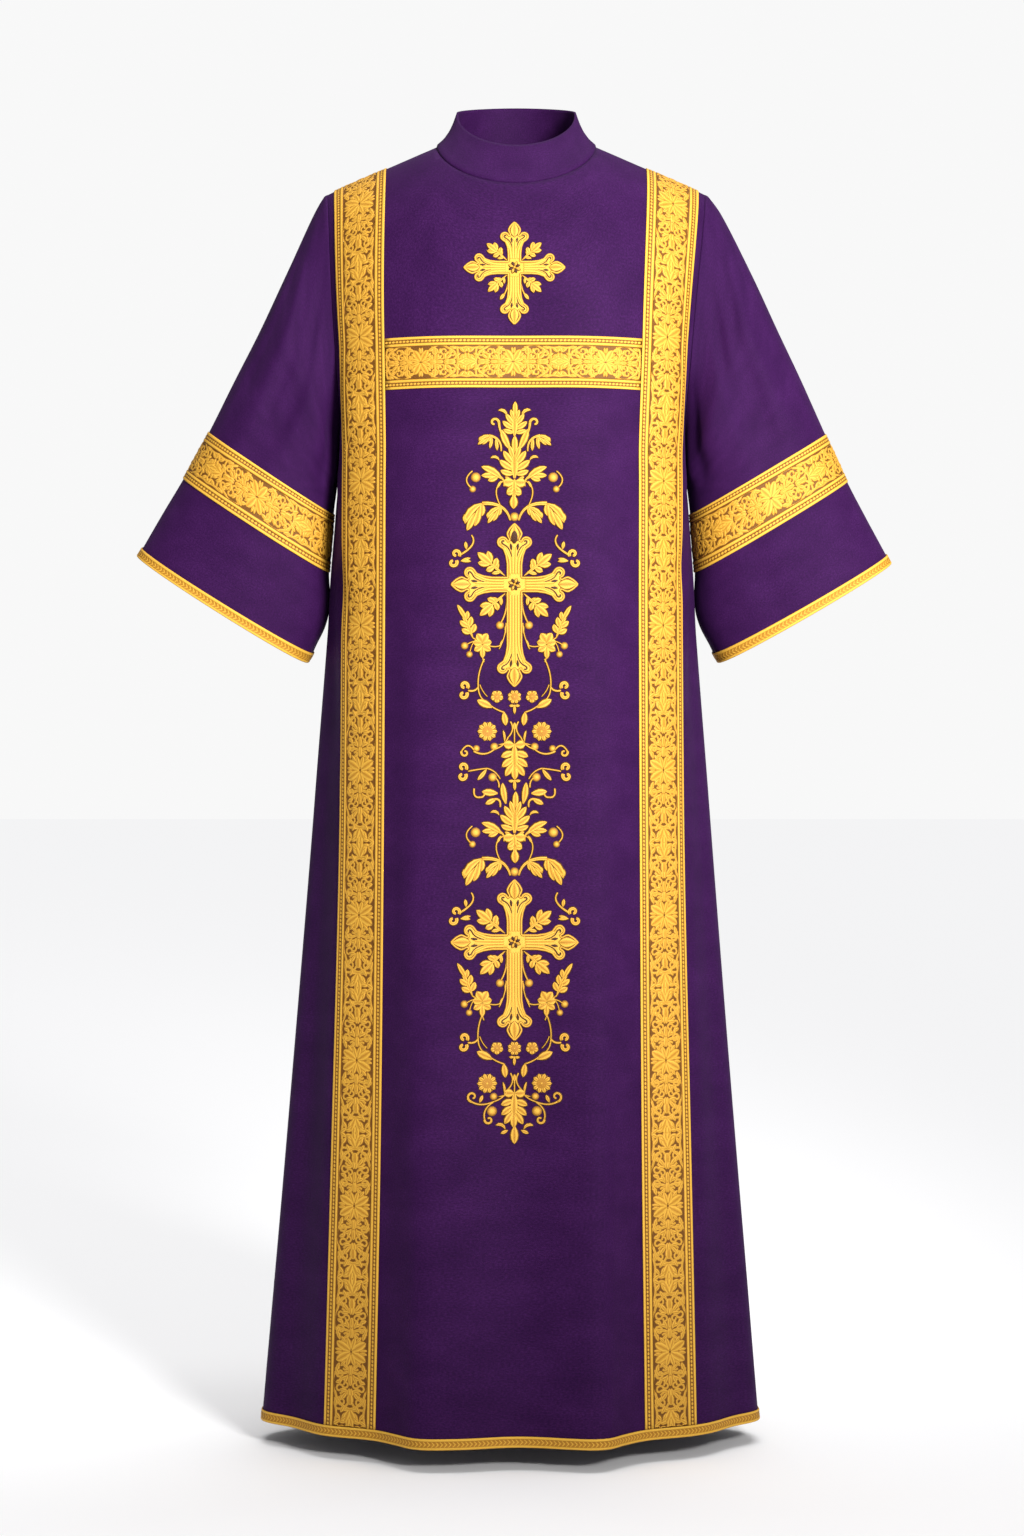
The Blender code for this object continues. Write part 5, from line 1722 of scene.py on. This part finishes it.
class Shade:
    """A material's nodes, joined by short calls."""

    def __init__(self, name):
        self.material = bpy.data.materials.new(name)
        self.material.use_nodes = True
        self.tree = self.material.node_tree
        self.shader = self.tree.nodes["Principled BSDF"]

    def join(self, source, target):
        """A value or another node's output, given to an input."""
        if hasattr(source, "is_linked"):
            self.tree.links.new(source, target)
        else:
            target.default_value = source

    def node(self, kind, inputs, **settings):
        """A new node with its inputs, by name or number, and its settings."""
        made = self.tree.nodes.new(kind)
        for key, value in settings.items():
            setattr(made, key, value)
        for key, value in inputs.items():
            self.join(value, made.inputs[key])
        return made

    def surface(self, **inputs):
        """Inputs of the shader, with _ for each space in their names."""
        for name, value in inputs.items():
            self.join(value, self.shader.inputs[name.replace("_", " ")])

    def maths(self, operation, *values):
        return self.node("ShaderNodeMath", dict(enumerate(values)), operation=operation).outputs[0]

    def mixed(self, start, *weighted):
        """A start value with other values added to it, each times its weight."""
        total = start
        for value, weight in weighted:
            total = self.maths("MULTIPLY_ADD", value, weight, total)
        return total

    def wave(self, value, pitch):
        return self.maths("SINE", self.maths("MULTIPLY", value, 2 * math.pi / pitch))

    def noise(self, vector, scale, detail, roughness):
        inputs = {"Vector": vector, "Scale": scale, "Detail": detail, "Roughness": roughness}
        return self.node("ShaderNodeTexNoise", inputs).outputs["Fac"]

    def ramp(self, factor, places, colours):
        """Colours at their places along a factor."""
        made = self.node("ShaderNodeValToRGB", {"Fac": factor})
        elements = made.color_ramp.elements
        while len(elements) < len(places):
            elements.new(0.5)
        for element, place, colour in zip(elements, places, colours):
            element.position = place
            element.color = (*colour, 1.0)
        return made.outputs["Color"]

    def bump(self, height, strength, distance):
        inputs = {"Strength": strength, "Distance": distance, "Height": height}
        self.surface(Normal=self.node("ShaderNodeBump", inputs).outputs["Normal"])

    def threads(self, pitch):
        """The piece's UVs, which are in metres, their two parts, and crossing waves along both."""
        uv = self.node("ShaderNodeUVMap", {}, uv_map="cloth").outputs["UV"]
        across, along, _ = self.node("ShaderNodeSeparateXYZ", {0: uv}).outputs
        return uv, across, along, self.maths("MULTIPLY", self.wave(across, pitch), self.wave(along, pitch))


def cloth_material():
    """Fine plain weave, a little cloudy, with a faint sheen."""
    shade = Shade("purple_cloth")
    uv, _, _, weave = shade.threads(CLOTH_PITCH)
    grain = shade.noise(uv, scale=620.0, detail=2.0, roughness=0.7)
    cloud = shade.noise(uv, scale=24.0, detail=3.0, roughness=0.6)
    tone = shade.mixed(0.0, (grain, 0.65), (cloud, 0.35))
    shade.surface(
        Base_Color=shade.ramp(tone, PURPLE_TONES, PURPLES),
        Roughness=shade.mixed(0.56, (grain, 0.18)),
        Specular_IOR_Level=0.05,
        Sheen_Weight=0.03,
        Sheen_Roughness=0.45,
        Sheen_Tint=SHEEN_TINT,
    )
    shade.bump(shade.mixed(grain, (weave, 0.4)), strength=0.35, distance=0.0004)
    return shade.material


def gold_material(name, gold):
    """Metal thread from the brown of the ground and of the painted shadow round raised shapes (tint 0) to
    bright gold (tint 1).
    """
    shade = Shade(name)
    uv, across, along, weave = shade.threads(gold.pitch)
    tint = shade.node("ShaderNodeAttribute", {}, attribute_name="tint").outputs["Fac"]
    grain = shade.noise(uv, scale=900.0, detail=2.0, roughness=0.6)
    stitch = shade.wave(shade.mixed(along, (across, gold.lean)), gold.pitch)
    uneven = shade.maths("SUBTRACT", grain, 0.5)
    tone = shade.mixed(tint, (uneven, 0.34), (stitch, 0.045))
    shade.surface(
        Base_Color=shade.ramp(tone, GOLD_TONES, gold.colours),
        Metallic=gold.metallic,
        Specular_IOR_Level=0.22,
        Roughness=shade.mixed(0.42, (grain, 0.20)),
    )
    shade.bump(shade.mixed(grain, (weave, 0.3), (stitch, 0.6)), strength=0.30, distance=0.0003)
    return shade.material


def make_floor():
    """A wide pale floor under the hem."""
    corners = np.array(((-1, -1), (1, -1), (1, 1), (-1, 1))) * FLOOR_REACH
    points = np.pad(corners, ((0, 0), (0, 1)), constant_values=FLOOR_LEVEL)
    floor = add_object("floor", points, np.array(((0, 1, 2, 3),)))
    shade = Shade("floor")
    shade.surface(Base_Color=FLOOR_COLOUR, Roughness=FLOOR_ROUGHNESS, Specular_IOR_Level=0.0)
    floor.data.materials.append(shade.material)


def make_world():
    """Even studio light, with a paler background behind the piece."""
    world = bpy.data.worlds.new("studio")
    world.use_nodes = True
    nodes, links = world.node_tree.nodes, world.node_tree.links
    background = nodes["Background"]
    background.inputs["Color"].default_value = STUDIO_COLOUR
    rays = nodes.new("ShaderNodeLightPath")
    strength = nodes.new("ShaderNodeMapRange")
    strength.inputs["To Min"].default_value = STUDIO_LIGHT
    strength.inputs["To Max"].default_value = BACKGROUND_LIGHT
    links.new(rays.outputs["Is Camera Ray"], strength.inputs["Value"])
    links.new(strength.outputs["Result"], background.inputs["Strength"])
    bpy.context.scene.world = world


def make_lights():
    """A soft sun from overhead, and a key light high on the right."""
    sun = bpy.data.lights.new("sun", "SUN")
    sun.energy, sun.angle = SUN_STRENGTH, SUN_SOFTNESS
    item = add_item("sun", sun)
    item.rotation_euler = Vector(SUN_AIM).to_track_quat("-Z", "Y").to_euler()
    key = bpy.data.lights.new("key", "SPOT")
    key.energy, key.color, key.shadow_soft_size = KEY_ENERGY, KEY_COLOUR, KEY_RADIUS
    key.spot_size, key.spot_blend = KEY_CONE, KEY_BLEND
    item = add_item("key", key)
    item.location = KEY_AT
    item.rotation_euler = (Vector(KEY_AIM) - Vector(KEY_AT)).to_track_quat("-Z", "Y").to_euler()
    item.visible_camera = False


def make_camera():
    """The photograph's view, level from the front."""
    data = bpy.data.cameras.new("camera")
    data.lens, data.sensor_width = CAMERA_LENS, SENSOR
    camera = add_item("camera", data)
    camera.location = CAMERA_AT
    camera.rotation_euler = (QUARTER, 0.0, 0.0)
    bpy.context.scene.camera = camera
    bpy.context.scene.view_settings.view_transform = "Standard"


def main():
    make_floor()
    make_world()
    make_lights()
    make_camera()
    cloth = cloth_material()
    braid = gold_material("gold_braid", GOLD_BRAID)
    thread = gold_material("gold_thread", GOLD_THREAD)
    front = make_panel("cloth_front", FRONT, cloth, "front")
    back = make_panel("cloth_back", BACK, cloth, "back")
    collar = make_collar("cloth_collar", cloth, "collar")
    for side, hand in (("left", 1), ("right", -1)):
        sleeve = make_sleeve(f"cloth_sleeve_{side}", hand, cloth, f"sleeve_{side}")
        upright = VerticalBand(hand)
        band = make_band(f"braid_{side}", upright, REPEAT, FLOWER_PHASE, braid, f"band_{side}")
        ring = SleeveBand(hand, SLEEVE_BAND, SLEEVE_BAND_BREADTH)
        band = make_band(f"braid_sleeve_{side}", ring, ring.length / SLEEVE_REPEATS,
                         SLEEVE_PHASE * ring.length, braid, f"band_sleeve_{side}")
        cuff = SleeveBand(hand, CUFF_TRIM, HEM_TRIM)
        make_trim(f"edging_cuff_{side}", cuff, braid, f"trim_cuff_{side}")
    chest, hem, face = ChestBand(), HemTrim(), FrontCloth()
    band = make_band("braid_chest", chest, CHEST_REPEAT, CHEST_PHASE * chest.length, braid, "band_chest")
    make_trim("edging_hem", hem, braid, "trim_hem")
    for cross in CROSSES:
        make_cross(cross, face, thread)
    make_embroidery("embroidery_small", face, [Station(CROSSES[0].level, (SMALL_SPRAYS,))], thread)
    make_embroidery("embroidery_column", face, COLUMN, thread)


main()
